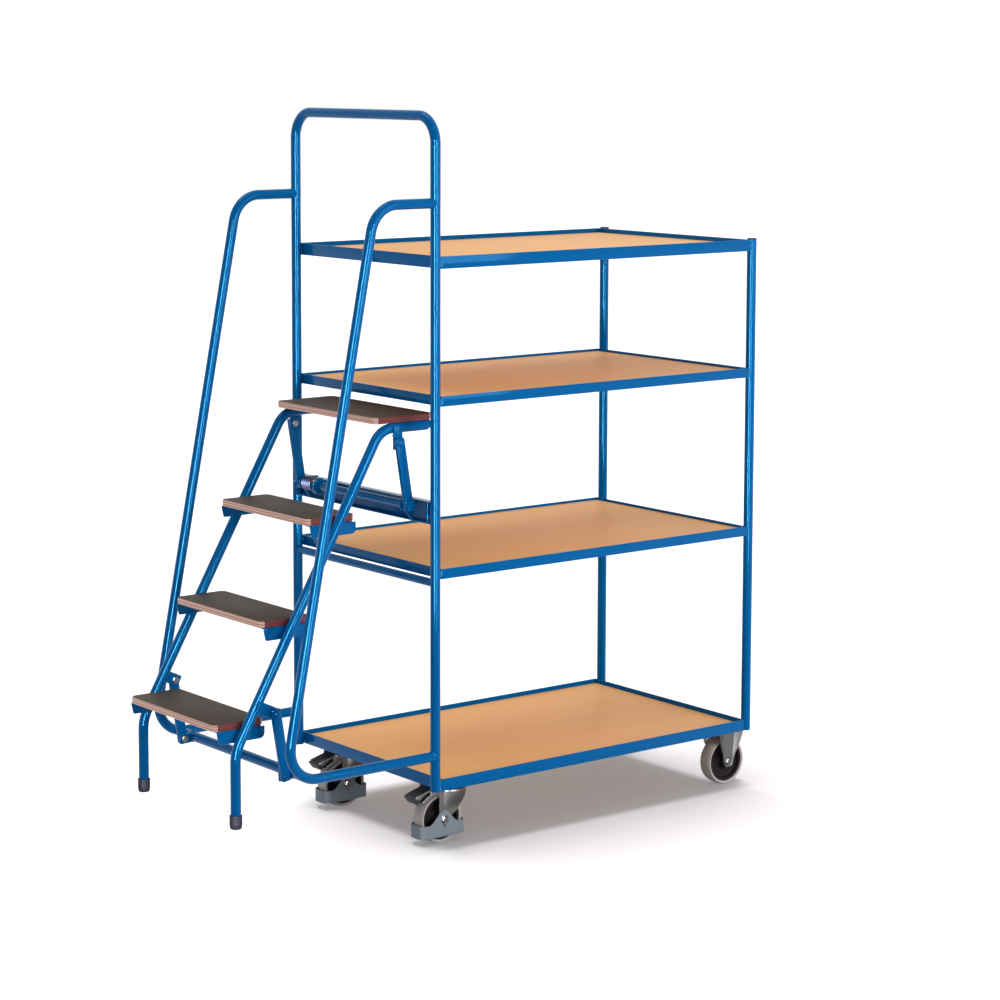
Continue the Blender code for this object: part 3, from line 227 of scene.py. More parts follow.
# Fork of a swivel castor: dish, bell legs, arch over the wheel and the pedal's ear
FORK_IN = 0.023
FORK_WALL = 0.003
FORK_OUT = FORK_IN + FORK_WALL
GUARD_OUT = FORK_IN + FORK_WALL * 2 + FIT
BOSS_R = 0.014
DISH_R = 0.042
DISH_SKIRT = 0.014
# Radius and rise from the dish's top
DISH_ROWS = ((0.0085, 0), (0.0300, 0), (0.0350, -0.0014), (DISH_R, -0.0080),
             (DISH_R, -DISH_SKIRT), (DISH_R - FORK_WALL, -DISH_SKIRT),
             (DISH_R - FORK_WALL, -0.0100), (0.0330, -FORK_WALL), (0.0085, -FORK_WALL))
DISH_CORNERS = (0.0005, 0.004, 0.004, 0.005, 0.0006, 0.0006, 0.003, 0.003, 0.0005)
SKIRT_R = 0.0418
BELL_FOOT = 0.086
BELL_BACK = 0.0131
# Front edge of a bell leg: rise above the axle and reach, from the wheel and the kingpin
BELL_WIDE = (0.01625, 0.0419)
BELL_HIGH = (0.0625, 0.0340)
BELL_OVER = 0.01
BELL_EASE_SHARE = 0.55
ARCH_SHIFT = 0.014
ARCH_R = 0.0715
ARCH_BAND = 0.0105
ARCH_SHEET = 0.0026
ARCH_TOP, ARCH_INNER, ARCH_FRONT, ARCH_BACK = (math.radians(turn) for turn in (112, 97, 74, 136))
EAR_R = 0.008
EAR_START, EAR_END = math.radians(20), math.radians(170)
WEB_POINTS = ((-0.030, 0.050), (-0.006, 0.062))
PIN_R = 0.0030
PIN_HEAD_ROWS = ((0, 0.0028), (0.0022, 0.0026), (0.0042, 0.0014), (0.0048, 0))

# Foot guard, round the axle
GUARD_LENGTH = 0.140
GUARD_BASE = -0.044
GUARD_TOP = -0.011
GUARD_CROWN = 0.034
GUARD_SPAN = 0.046
GUARD_END_R = 0.020
GUARD_WALL = 0.003
GUARD_ROUND = 0.0008
GUARD_STEPS = 44
GUARD_BOSS_ROWS = ((0, -SIDE_RUN), (0.0165, -SIDE_RUN), (0.0160, FIT), (0, FIT))
# Black disc on each side below the axle: painted shade of a hole in the guard
HOLE_SHADE_R = 0.0030
HOLE_SHADE_AT = Vector((0.0005, 0, -0.0155))

# Brake pedal: its pin behind the axle and below the dish's top, and its bars and plates
PEDAL_BACK = 0.030
PEDAL_DROP = FORK_WALL / 2 + 0.0012
PEDAL_EYE = 0.0065
# Shares of the wheel's radius from the axle: nylon body, heel and tip first, then side plates
PEDAL_SHARES = ((-0.52, 1.275), (-1.43, 1.0), (-1.22, 0.72), (-1.15, 0.79), (-0.965, 0.99),
                (-0.80, 1.09), (-0.64, 1.16))
PEDAL_PLATE_SHARES = ((-0.60, 1.25), (-1.30, 1.07), (-1.33, 0.98), (-1.12, 0.90), (-0.965, 1.01),
                      (-0.80, 1.11), (-0.62, 1.175))
PEDAL_ROUND = 0.0012
PEDAL_PLATE = 0.0016
PEDAL_PLATE_CORNER = 0.002
PEDAL_BARS = 6
PEDAL_BAR_START, PEDAL_BAR_PITCH = 0.004, 0.0054
# A bar's corners along and across the pedal's top
PEDAL_BAR = ((-0.0011, -0.0010), (0.0011, -0.0010), (0.0008, 0.0011), (-0.0008, 0.0011))
PEDAL_BAR_SHARE = 0.9
PEDAL_BAR_EDGE = 0.0003

# Shares of a fixed leg's rise, then of the wheel: half web, wing along and wing out
FIXED_LEG_SHARES = (
    (1.0, 0.172, 0.190, 0.110), (0.57, 0.152, 0.128, 0.074), (0.22, 0.122, 0.056, 0.034),
    (0.0, 0.116, 0.020, 0.012), (-0.1, 0.090, 0.012, 0.008), (-0.156, 0.046, 0.008, 0.004),
)
FIXED_LEG_STEPS = 7
WING_ROUND = 0.004
WING_ROUND_SHARE = 0.4
WING_EDGE = 0.0004

# Camera, its sensor and lens in millimetres, and floor
CAMERA_PLACE = (-4.1973, -5.5079, 1.9385)
CAMERA_YAW, CAMERA_PITCH = math.radians(36.98), math.radians(-6.52)
CAMERA_SENSOR, CAMERA_LENS = 36, 98.82
CAMERA_SHIFT = (0.07, -0.13)
CAMERA_FAR = 200
FLOOR_R, FLOOR_DEPTH = 30, 0.01
FLOOR_SEEN = (0.405, 0.392, 0.4, 1)

# Lamps: strengths beside those in the panel, and the strips' place, aim, share and width
SKY_PLACE, SKY_ANGLE = (-0.5, 1.2, 4), math.radians(38)
CEILING_PLACE, CEILING_ANGLE = (-0.15, 0.35, 4), math.radians(36)
CEILING_SHARE = 5.6
FILL_PLACE, FILL_AIM, FILL_SIZE = (1.2, -4.6, 1.9), (0, 0, 0.8), (2.6, 2.0)
STRIP_HEIGHT = 2.1
FLOOR_GLOW = 1.6
STRIPS = (("left_strip", (-2.6, -1.9, 1.1), (0, 0, 1.1), 1.0, 0.8),
          ("right_strip", (-0.55, -3.05, 1.1), (0.2, 0, 1.1), 0.5, 0.5))


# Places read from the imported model, metres in its own frame

def middle(node):
    """Middle of a CAD node's box."""
    low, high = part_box(node)
    return (low + high) / 2


POST_X = middle("handle_frame").x
POST_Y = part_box("handle_frame")[1].y - TUBE_R
REAR_X = middle("rear_post_left").x
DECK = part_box("handle_frame")[0].z
HANDLE_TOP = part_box("handle_frame")[1].z
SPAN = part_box("shelf_stay")[1].y
STRINGER_Y = middle("ladder_foot_left").y
LEG_X = middle("ladder_foot_left").x
LEG_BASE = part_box("stringer_left")[0].z
LADDER_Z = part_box("tread_4")[0].z - FIT - TUBE_R
LUG_Y = STRINGER_Y + TUBE_R - WELD
LINK_Y = LUG_Y + LUG + SIDE_RUN
LINK_FACE = LINK_Y + LINK
NUT_FACE = LUG_Y + WELD
HEAD_FACE = LINK_FACE + SIDE_RUN
COLLAR_Y = LUG_Y - LUG - COLLAR_INSET
LINK_LOW, LINK_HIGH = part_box("upper_link_left")
LIFT = Vector((LINK_HIGH.x - LINK_R, 0, LINK_LOW.z + LINK_R))
LADDER_PIVOT = Vector((LINK_LOW.x + LINK_R, 0, LINK_HIGH.z - LINK_R))
LOWER_LOW, LOWER_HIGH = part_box("lower_link_left")
LOWER_PIVOT = Vector((LOWER_HIGH.x - LINK_R, 0, LOWER_LOW.z + LINK_R))
BRACKET_PIVOT = LOWER_PIVOT + LADDER_PIVOT - LIFT
CHANNEL_TOP = LIFT.z + COIL_R - WIRE_R - FIT
DISH_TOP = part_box("swivel_plate_left")[1].z - PLATE - RACE_HEIGHT - RUN
PEDAL_Z = DISH_TOP - PEDAL_DROP


def at(x, y=0.0, z=0.0):
    """Point given from the axis of the posts at the ladder end."""
    return Vector((POST_X + x, y, z))


def slope_x(height):
    """X of the stringers' axis at a height on the slope."""
    return POST_X - LADDER_TOP - (LADDER_Z - height) / math.tan(SLOPE)


LEG_CORNER = LADDER_Z - (POST_X - LADDER_TOP - LEG_X) * math.tan(SLOPE)


# Finishes

def linear(colour):
    """Linear RGBA of an sRGB hex colour."""
    channels = [int(colour[start:start + 2], 16) / 255 for start in (0, 2, 4)]
    return (*[c / 12.92 if c <= 0.04045 else ((c + 0.055) / 1.055) ** 2.4 for c in channels], 1)


def shade(colour, *shares):
    """Colour with its channels multiplied by one share or by three."""
    shares = shares * 3 if len(shares) == 1 else shares
    return (*[min(channel * share, 1) for channel, share in zip(colour, shares)], 1)


def feed(tree, node, inputs):
    """Set a node's inputs by name or number, or link those that are given a socket."""
    for key, value in inputs.items():
        if isinstance(value, bpy.types.NodeSocket):
            tree.links.new(value, node.inputs[key])
        else:
            node.inputs[key].default_value = value


def add_node(tree, kind, inputs=None, out=0, stops=None, **settings):
    """Add a shader node, set its properties, inputs and ramp, and give one of its outputs."""
    made = tree.nodes.new(f"ShaderNode{kind}")
    for name, value in settings.items():
        setattr(made, name, value)
    feed(tree, made, inputs or {})
    if stops:
        ramp = made.color_ramp
        while len(ramp.elements) < len(stops):
            ramp.elements.new(1)
        for element, (place, colour) in zip(ramp.elements, stops):
            element.position, element.color = place, colour
    return made.outputs[out]


def mix(tree, factor, first, second):
    """Colour between two colours or sockets."""
    # Inputs 6 and 7 and output 2 are the node's colours, which share their names with others
    return add_node(tree, "Mix", {"Factor": factor, 6: first, 7: second}, 2, data_type="RGBA")


BLACK, WHITE = (0, 0, 0, 1), (1, 1, 1, 1)


def start_material(name):
    """Empty node material: material, tree and the piece's own coordinates in metres."""
    material = bpy.data.materials.new(name)
    material.use_nodes = True
    tree = material.node_tree
    return material, tree, add_node(tree, "TexCoord", out="Object")


def powder_coat(name, colour):
    """Polyester powder coat baked on steel: an even blue, glossy, with fine orange peel."""
    material, tree, place = start_material(name)
    drift = add_node(tree, "TexNoise", {"Vector": place, "Scale": 9.0, "Detail": 2.0})
    # Orange peel waves are about 2 mm across and a few microns high
    peel = add_node(tree, "TexNoise", {"Vector": place, "Scale": 480.0, "Detail": 1.0})
    feed(tree, tree.nodes["Principled BSDF"], {
        "Base Color": mix(tree, drift, shade(colour, 0.9), shade(colour, 1)),
        "Normal": add_node(tree, "Bump", {"Height": peel, "Strength": 0.01, "Distance": 0.0002}),
        "Roughness": 0.1,
        "IOR": 1.5,
        "Specular IOR Level": 0.17,
        # Blue pigment shows in the gloss too, so bright lines on a tube are pale blue
        "Specular Tint": linear("54C0FF"),
    })
    return material


def beech_foil(name, colour):
    """Beech foil pressed on chipboard: a warm even tan with short darker flecks along X."""
    material, tree, place = start_material(name)
    # Growth bands about 25 mm wide and 300 mm long
    long = add_node(tree, "Mapping", {"Vector": place, "Scale": (3.0, 38.0, 38.0)})
    bands = add_node(tree, "TexNoise",
                     {"Vector": long, "Scale": 1.0, "Detail": 3.0, "Distortion": 0.4})
    # Ray flecks about 1 mm wide and 6 mm long, drawn twice as coarse as real ones
    short = add_node(tree, "Mapping", {"Vector": place, "Scale": (110.0, 620.0, 620.0)})
    flecks = add_node(tree, "TexNoise", {"Vector": short, "Scale": 1.0, "Detail": 1.0})
    spots = add_node(tree, "ValToRGB", {"Fac": flecks}, stops=((0.56, BLACK), (0.72, WHITE)))
    warm, pale = shade(colour, 0.95, 0.92, 0.88), shade(colour, 1.05, 1.06, 1.08)
    base = mix(tree, bands, warm, pale)
    share = add_node(tree, "Math", {0: spots, 1: 0.30}, operation="MULTIPLY")
    dark = shade(colour, 0.80, 0.72, 0.62)
    feed(tree, tree.nodes["Principled BSDF"], {
        "Base Color": mix(tree, share, base, dark),
        "Normal": add_node(tree, "Bump", {"Height": flecks, "Strength": 0.05, "Distance": 0.0002}),
        "Roughness": 0.5,
        "IOR": 1.5,
        "Specular IOR Level": 0.18,
    })
    return material


def phenolic_film(name, colour):
    """Phenolic film pressed with a wire mesh on plywood: brown, dull, with a fine grid."""
    material, tree, place = start_material(name)
    # Wires of the press mesh lie 5 mm apart, along and across
    rows = [add_node(tree, "TexWave", {"Vector": place, "Scale": 63.0, "Distortion": 0.0},
                     out="Fac", wave_type="BANDS", bands_direction=axis) for axis in "XY"]
    grid = add_node(tree, "Math", {0: rows[0], 1: rows[1]}, operation="MAXIMUM")
    wear = add_node(tree, "TexNoise", {"Vector": place, "Scale": 26.0, "Detail": 4.0})
    dull, rubbed = shade(colour, 0.86, 0.86, 0.88), shade(colour, 1.12, 1.12, 1.10)
    soft = mix(tree, wear, dull, rubbed)
    share = add_node(tree, "Math", {0: grid, 1: 0.16}, operation="MULTIPLY")
    feed(tree, tree.nodes["Principled BSDF"], {
        "Base Color": mix(tree, share, soft, shade(colour, 1.5)),
        "Normal": add_node(tree, "Bump", {"Height": grid, "Strength": 0.25, "Distance": 0.0003}),
        "Roughness": 0.6,
        "IOR": 1.5,
        "Specular IOR Level": 0.1,
    })
    return material


def sawn_edge(name, colour):
    """Sawn edge of birch plywood with a coloured sealer: thin plies, every second one darker."""
    material, tree, place = start_material(name)
    # Plies of 1.45 mm, drawn 3.6 mm thick so that they show
    plies = add_node(tree, "TexWave", {"Vector": place, "Scale": 43.0, "Distortion": 1.2,
                                       "Detail": 1.0, "Detail Scale": 0.4},
                     out="Fac", wave_type="BANDS", bands_direction="Z")
    stripe = add_node(tree, "ValToRGB", {"Fac": plies}, stops=((0.30, BLACK), (0.75, WHITE)))
    dark, pale = shade(colour, 0.70, 0.58, 0.56), shade(colour, 1.1, 1.08, 1.06)
    base = mix(tree, stripe, dark, pale)
    # Torn fibres left by the saw, about 1 mm across
    torn = add_node(tree, "TexNoise", {"Vector": place, "Scale": 900.0, "Detail": 2.0})
    share = add_node(tree, "Math", {0: torn, 1: 0.35}, operation="MULTIPLY")
    feed(tree, tree.nodes["Principled BSDF"], {
        "Base Color": mix(tree, share, base, shade(colour, 0.6, 0.5, 0.5)),
        "Roughness": 0.6,
        "IOR": 1.5,
    })
    return material


def moulded(name, colour, roughness, grain_mm, spread=0.12):
    """Plastic or rubber with the fine grain of its mould's wall, size in millimetres."""
    material, tree, place = start_material(name)
    grain = add_node(tree, "TexNoise", {"Vector": place, "Scale": 1000.0 / grain_mm, "Detail": 2.0})
    cloud = add_node(tree, "TexNoise", {"Vector": place, "Scale": 45.0, "Detail": 3.0})
    low, high = shade(colour, 1 - spread), shade(colour, 1 + spread)
    feed(tree, tree.nodes["Principled BSDF"], {
        "Base Color": mix(tree, cloud, low, high),
        "Normal": add_node(tree, "Bump", {"Height": grain, "Strength": 0.12, "Distance": 0.0003}),
        "Roughness": roughness,
        "IOR": 1.5,
        "Specular IOR Level": 0.16,
    })
    return material


def plated(name, colour, roughness):
    """Zinc or phosphate on pressed and turned steel: metal, clouded in patches of 10 mm."""
    material, tree, place = start_material(name)
    cloud = add_node(tree, "TexNoise", {"Vector": place, "Scale": 100.0, "Detail": 3.0})
    low, high = shade(colour, 0.92), shade(colour, 1.05)
    feed(tree, tree.nodes["Principled BSDF"], {
        "Base Color": mix(tree, cloud, low, high),
        "Roughness": add_node(tree, "MapRange", {"Value": cloud, "To Min": roughness * 0.9,
                                                 "To Max": roughness * 1.15}),
        "Metallic": 1,
    })
    return material


# Materials of each slot: name, maker, colour as a setting of the panel or a hex value, numbers
FINISHES = {
    "paint": [("powder_coated_steel", powder_coat, "paint")],
    "beech": [("beech_foil_chipboard", beech_foil, "beech")],
    "film": [("phenolic_film_ply_face", phenolic_film, "film"),
             ("sealed_birch_ply_edge", sawn_edge, "edge"),
             # The ends take a darker copy of the edge colour: end grain, and painted shade
             ("stained_birch_ply_end", sawn_edge, "end")],
    # Injection moulded polyethylene: black with a soft sheen
    "cap": [("moulded_polyethylene", moulded, "17171A", 0.42, 0.6)],
    # Moulded rubber: nearly black, bluish and dull
    "rubber": [("moulded_rubber", moulded, "10152E", 0.6, 0.5)],
    # Cast thermoplastic rubber: mid grey and dull, a little dusty
    "tyre": [("cast_grey_rubber", moulded, "tyre", 0.62, 0.8, 0.2)],
    # Injection moulded polypropylene: dark aubergine with a low sheen
    "core": [("moulded_polypropylene", moulded, "150F15", 0.55, 0.6)],
    # Injection moulded nylon: cool grey
    "guard": [("moulded_grey_nylon", moulded, "guard", 0.45, 0.7)],
    # Glass filled nylon: black, slightly rough
    "pedal": [("moulded_black_nylon", moulded, "242327", 0.5, 0.5)],
    # Bright zinc on pressed sheet and bolts: silver with a clouded gloss
    "zinc": [("zinc_plated_steel", plated, "zinc", 0.31)],
    # Phosphated spring wire: dark blue grey and oily
    "spring": [("phosphated_spring_steel", plated, "4A5068", 0.34)],
}


def finish(name, maker, colour, *settings):
    """Material by its name, made once."""
    made = bpy.data.materials.get(name)
    if made:
        return made
    looks = bpy.context.scene.trolley_finishes
    return maker(name, getattr(looks, colour) if hasattr(looks, colour) else linear(colour),
                 *settings)


# Mesh tools

def level(u, v, w):
    """Place of a plate that lies flat, or of a body turned about Z."""
    return Vector((u, v, w))


def upright(u, v, w):
    """Place of a plate that stands lengthwise, or of a body turned about Y."""
    return Vector((u, w, v))


def endways(u, v, w):
    """Place of a body turned about X."""
    return Vector((w, u, v))


def circle(radius, sides):
    """Points of a circle round zero."""
    return [(radius * math.cos(a), radius * math.sin(a))
            for a in [FULL_TURN * k / sides for k in range(sides)]]


def join_rings(bm, rings, closed=False):
    """Faces between rings of equally many vertices; a ring of one is a tip."""
    for lower, upper in zip(rings, rings[1:] + rings[:1] if closed else rings[1:]):
        count = max(len(lower), len(upper))
        for i in range(count):
            j = (i + 1) % count
            corners = [lower[i % len(lower)], lower[j % len(lower)],
                       upper[j % len(upper)], upper[i % len(upper)]]
            kept = list(dict.fromkeys(corners))
            if len(kept) > 2:
                bm.faces.new(kept)


def loft(bm, sections, closed=False):
    """Skin through sections of points, with flat ends unless it is closed."""
    rings = [[bm.verts.new(point) for point in section] for section in sections]
    join_rings(bm, rings, closed)
    if not closed:
        for ring in (rings[0], rings[-1]):
            if len(ring) > 2:
                bm.faces.new(ring)


def sweep(bm, points, radii, sides=24, closed=False):
    """Tube along points, with one radius or one for each point."""
    count = len(points)
    if isinstance(radii, float):
        radii = [radii] * count
    normal = None
    sections = []
    for i, point in enumerate(points):
        if closed:
            ahead, behind = points[(i + 1) % count], points[i - 1]
        else:
            ahead, behind = points[min(i + 1, count - 1)], points[max(i - 1, 0)]
        along = (ahead - behind).normalized()
        if normal is None:
            normal = along.orthogonal()
        normal = (normal - along * normal.dot(along)).normalized()
        across = along.cross(normal)
        sections.append([point + (normal * u + across * v) * radii[i]
                         for u, v in circle(1, sides)])
    loft(bm, sections, closed)


def turned(bm, profile, sides, origin, place=upright, closed=False):
    """Body of revolution from (radius, height) pairs."""
    sections = []
    for radius, height in profile:
        ring = circle(radius, sides) if radius > TINY else [(0, 0)]
        sections.append([origin + place(u, v, height) for u, v in ring])
    loft(bm, sections, closed)


def rod(bm, radius, start, end, sides, origin):
    """Plain round bar along Y."""
    turned(bm, [(0, start), (radius, start), (radius, end), (0, end)], sides, origin)


def mirrored(half):
    """Closed profile from the half that lies on one side."""
    return [*half, *[(radius, -height) for radius, height in reversed(half)]]


def arc(centre, radius, start, end, steps):
    """Points of an arc in a plane."""
    return [Vector((centre[0] + radius * math.cos(start + (end - start) * k / steps),
                    centre[1] + radius * math.sin(start + (end - start) * k / steps)))
            for k in range(steps + 1)]


def corner_arc(before, corner, after, radius, steps):
    """Points that round a corner between two straight runs."""
    back, ahead = (before - corner), (after - corner)
    half = back.angle(ahead) / 2
    if radius < TINY or half > QUARTER - 1e-3:
        return [corner.copy()]
    reach = min(radius / math.tan(half), back.length * 0.49, ahead.length * 0.49)
    radius = reach * math.tan(half)
    back, ahead = back.normalized(), ahead.normalized()
    centre = corner + (back + ahead).normalized() * (radius / math.sin(half))
    start, end = corner + back * reach - centre, corner + ahead * reach - centre
    turn = start.angle(end)
    return [centre + (start * math.sin((1 - k / steps) * turn)
                      + end * math.sin(k / steps * turn)) / math.sin(turn)
            for k in range(steps + 1)]


def soften(points, radius, steps=2, closed=True):
    """Outline or profile whose corners are rounded; radius may be one for each corner."""
    points = [Vector(point) for point in points]
    count = len(points)
    radii = radius if hasattr(radius, "__len__") else [radius] * count
    result = []
    for i in range(count):
        if not closed and i in (0, count - 1):
            result.append(points[i])
        else:
            result += corner_arc(points[i - 1], points[i], points[(i + 1) % count], radii[i], steps)
    return result


def bent(corners, radii, steps=14):
    """Centre line through corners with a bend at each inner one."""
    corners = [Vector(corner) for corner in corners]
    points = [corners[0]]
    for i, radius in enumerate(radii, 1):
        points += corner_arc(corners[i - 1], corners[i], corners[i + 1], radius, steps)
    return points + [corners[-1]]


def inset(outline, distance):
    """Closed outline moved inward by a distance."""
    count = len(outline)
    area = sum(outline[i - 1].x * outline[i].y - outline[i].x * outline[i - 1].y
               for i in range(count))
    sign = 1 if area > 0 else -1
    moved = []
    for i in range(count):
        a = (outline[i] - outline[i - 1]).normalized()
        b = (outline[(i + 1) % count] - outline[i]).normalized()
        normal = Vector((-a.y - b.y, a.x + b.x)) * sign
        if normal.length < 1e-9:
            normal = Vector((-a.y, a.x)) * sign
        normal.normalize()
        bite = max(normal.dot(Vector((-a.y, a.x)) * sign), 0.4)
        moved.append(outline[i] + normal * (distance / bite))
    return moved


def slab(bm, outline, low, high, place, soft=0.0008, steps=2):
    """Plate between two levels with rounded rims; place makes a point of (u, v, level)."""
    low, high = sorted((low, high))
    outline = [Vector(point) for point in outline]
    rims = []
    for step in range(steps + 1):
        angle = QUARTER * step / steps
        rims.append((soft * (1 - math.sin(angle)), soft * (1 - math.cos(angle))))
    rows = [(bite, low + rise) for bite, rise in rims]
    rows += [(bite, high - rise) for bite, rise in reversed(rims)]
    loft(bm, [[place(p.x, p.y, height) for p in inset(outline, bite)] for bite, height in rows])


def rectangle(low_x, low_y, high_x, high_y):
    """Corners of a rectangle."""
    return [(low_x, low_y), (high_x, low_y), (high_x, high_y), (low_x, high_y)]


def bolt_head(bm, base, outward, across, height, place=upright, washer=1.28):
    """Hexagon head with bevelled corners on a round washer; outward is 1 or -1."""
    rim, thin = across * washer / 2, height * WASHER_RISE
    turned(bm, [(0, 0), (rim - thin / 3, 0), (rim, outward * thin / 3),
                (rim, outward * thin * WASHER_RIM), (rim - thin / 3, outward * thin),
                (0, outward * thin)], 28, base, place)
    loft(bm, [[base + place(u * share, v * share, outward * rise)
               for u, v in circle(across / math.sqrt(3), 6)]
              for rise, share in ((thin, 1), (height * BEVEL_RISE, 1), (height, BEVEL_SHARE))])


def strap(first, second, half, before, after):
    """Square outline along two points of a flat bar, reaching past each of them."""
    first, second = Vector((first.x, first.z)), Vector((second.x, second.z))
    run = (second - first).normalized()
    across = Vector((-run.y, run.x)) * half
    start, end = first - run * before, second + run * after
    return [start - across, end - across, end + across, start + across]


def bead(bm, points, share, closed=False):
    """Weld bead along points: a small rope of overlapping scales."""
    radius, run = bpy.context.scene.trolley_sizes.weld * share, 0
    radii = []
    for i in range(len(points)):
        run += (points[i] - points[i - 1]).length if i else 0
        radii.append(radius * (1 + BEAD_RIPPLE * math.sin(FULL_TURN * run / BEAD_PITCH)))
    if not closed:
        radii[0] = radii[-1] = radius * 0.5
    sweep(bm, points, radii, 8, closed)


def line(first, second, step=0.0012):
    """Points along a straight run."""
    first, second = Vector(first), Vector(second)
    count = max(int((second - first).length / step), 2)
    return [first.lerp(second, k / count) for k in range(count + 1)]


def saddle(centre, along, side, radius, other, steps=44):
    """Closed line where a tube runs against another round tube."""
    up = along.cross(side)
    # Tubes of one size are flush at their sides, so the seam draws in there
    width = min(radius, other - SEAM_INSET)
    points = []
    for u, v in circle(1, steps):
        across = width * u
        depth = math.sqrt(max(other ** 2 - across ** 2, (other * 0.3) ** 2))
        points.append(centre + along * depth + side * across + up * (radius * v))
    return points


def add_piece(name, bm, slot, body, *nodes):
    """Turn a finished mesh into a shaded piece that rides on a body and replaces nodes."""
    bmesh.ops.remove_doubles(bm, verts=bm.verts, dist=TINY)
    bmesh.ops.recalc_face_normals(bm, faces=bm.faces)
    mesh = bpy.data.meshes.new(name)
    bm.to_mesh(mesh)
    bm.free()
    mesh.shade_smooth()
    mesh.set_sharp_from_angle(angle=math.radians(34))
    for row in FINISHES[slot]:
        mesh.materials.append(finish(*row))
    piece = bpy.data.objects.new(name, mesh)
    bpy.context.scene.collection.objects.link(piece)
    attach(piece, body)
    if nodes:
        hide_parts(*nodes)
    return piece


# Pieces

def run_tube(bm, corners, *bends):
    """Round tube through corners, bent at each inner one."""
    sizes = bpy.context.scene.trolley_sizes
    sweep(bm, bent(corners, bends, sizes.bend_steps), TUBE_R, sizes.tube_sides)


def make_posts():
    """Push handle with the ladder end posts, rear posts and their caps."""
    sides = bpy.context.scene.trolley_sizes.tube_sides
    top, bore = HANDLE_TOP - TUBE_R, TUBE_R - TUBE_WALL
    bm = bmesh.new()
    run_tube(bm, [at(0, -POST_Y, DECK), at(0, -POST_Y, top), at(0, POST_Y, top),
                  at(0, POST_Y, DECK)], HANDLE_BEND, HANDLE_BEND)
    add_piece("push_handle", bm, "paint", "chassis", "handle_frame")
    for side_name, side in SIDES:
        node, cap = f"rear_post_{side_name}", f"post_cap_{side_name}"
        base, rim = (corner.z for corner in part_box(node))
        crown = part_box(cap)[1].z
        stem = rim - PLUG_DEPTH
        foot = Vector((REAR_X, side * POST_Y, 0))
        bm = bmesh.new()
        turned(bm, [(0, base), (TUBE_R, base), (TUBE_R, rim - FIT), (TUBE_R - FIT, rim),
                    (bore, rim), (bore, stem), (0, stem)], sides, foot, level)
        add_piece(f"rear_tube_{side_name}", bm, "paint", "chassis", node)
        dome = soften([(TUBE_R, rim + FIT), (TUBE_R, (rim + crown) / 2),
                       (TUBE_R * CAP_FLAT_SHARE, crown), (0, crown)],
                      TUBE_R * CAP_ROUND_SHARE, 5, closed=False)
        bm = bmesh.new()
        turned(bm, [(0, stem + FIT), (bore - FIT, stem + FIT), (bore - FIT, rim + FIT), *dome],
               sides, foot, level)
        add_piece(f"end_plug_{side_name}", bm, "cap", "chassis", cap)


def frame_ring(bm, low, high, steps=4):
    """Ring of rolled angle, its outer corners round and its inner ones mitred."""
    leg, wall, rim = FRAME_LEG, FRAME_WALL, high.z - low.z
    section = soften([(0, 0), (leg, 0), (leg, wall), (wall, wall), (wall, rim), (0, rim)],
                     ANGLE_CORNERS, 3)
    sections = []
    for index, (sx, sy) in enumerate(rectangle(-1, -1, 1, 1)):
        edge = Vector((high.x if sx > 0 else low.x, high.y if sy > 0 else low.y))
        for step in range(steps + 1):
            angle = math.pi + QUARTER * (index + step / steps)
            ring = []
            for point in section:
                reach, spread = max(point.x, FRAME_CORNER), max(FRAME_CORNER - point.x, 0)
                ring.append(Vector((edge.x - sx * reach + spread * math.cos(angle),
                                    edge.y - sy * reach + spread * math.sin(angle),
                                    low.z + point.y)))
            sections.append(ring)
    loft(bm, sections, closed=True)


def make_shelves():
    """Four angle frames, their welds to the posts, the boards in them and the castor flats."""
    sizes = bpy.context.scene.trolley_sizes
    weld = sizes.weld
    for number in (1, 2, 3, 4):
        low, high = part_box(f"shelf_frame_{number}")
        bm = bmesh.new()
        frame_ring(bm, low, high)
        add_piece(f"angle_frame_{number}", bm, "paint", "chassis", f"shelf_frame_{number}")
        bm = bmesh.new()
        for x in (low.x - weld * BEAD_OUT, high.x + weld * BEAD_OUT):
            for way in WAYS:
                for spread in WAYS:
                    y = way * POST_Y + spread * TUBE_R * FRAME_WELD_SHARE
                    bead(bm, line((x, y, low.z + weld), (x, y, high.z - weld)), BEAD)
        add_piece(f"frame_welds_{number}", bm, "paint", "chassis")
        low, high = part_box(f"shelf_board_{number}")
        outline = soften(rectangle(low.x, low.y, high.x, high.y), BOARD_CORNER, 3)
        bm = bmesh.new()
        slab(bm, outline, low.z, high.z, level, sizes.board_edge)
        add_piece(f"beech_board_{number}", bm, "beech", "chassis", f"shelf_board_{number}")
    low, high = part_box("shelf_frame_1")
    front, back = (corner.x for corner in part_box("swivel_plate_left"))
    half, edge = CASTOR_FLAT / 2, FRAME_LEG - WELD
    bm = bmesh.new()
    for x in (front + half, back - half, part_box("fixed_fork_left")[0].x + half):
        slab(bm, rectangle(x - half, low.y + edge, x + half, high.y - edge), low.z,
             low.z + FRAME_WALL, level, FLAT_EDGE)
    add_piece("castor_flats", bm, "paint", "chassis")


def pivot_stud(painted, bare, pivot, side):
    """Pivot bolt: plated nut inside, painted head outside, shank between."""
    rod(bare, PIVOT_R, side * NUT_FACE, side * HEAD_FACE, 24, pivot)
    bolt_head(bare, pivot + Vector((0, side * NUT_FACE, 0)), -side, NUT_ACROSS, NUT_HEIGHT)
    start = side * (NUT_FACE - NUT_HEIGHT)
    end = side * (NUT_FACE - NUT_HEIGHT - THREAD_END)
    turned(bare, [(0, start), (PIVOT_R * THREAD_SHARE, start), (PIVOT_R * THREAD_END_SHARE, end),
                  (0, end)], 20, pivot)
    turned(painted, [(BUTTON_R * share, side * (HEAD_FACE + BUTTON_RISE * rise))
                     for share, rise in BUTTON_SHARES], 32, pivot)


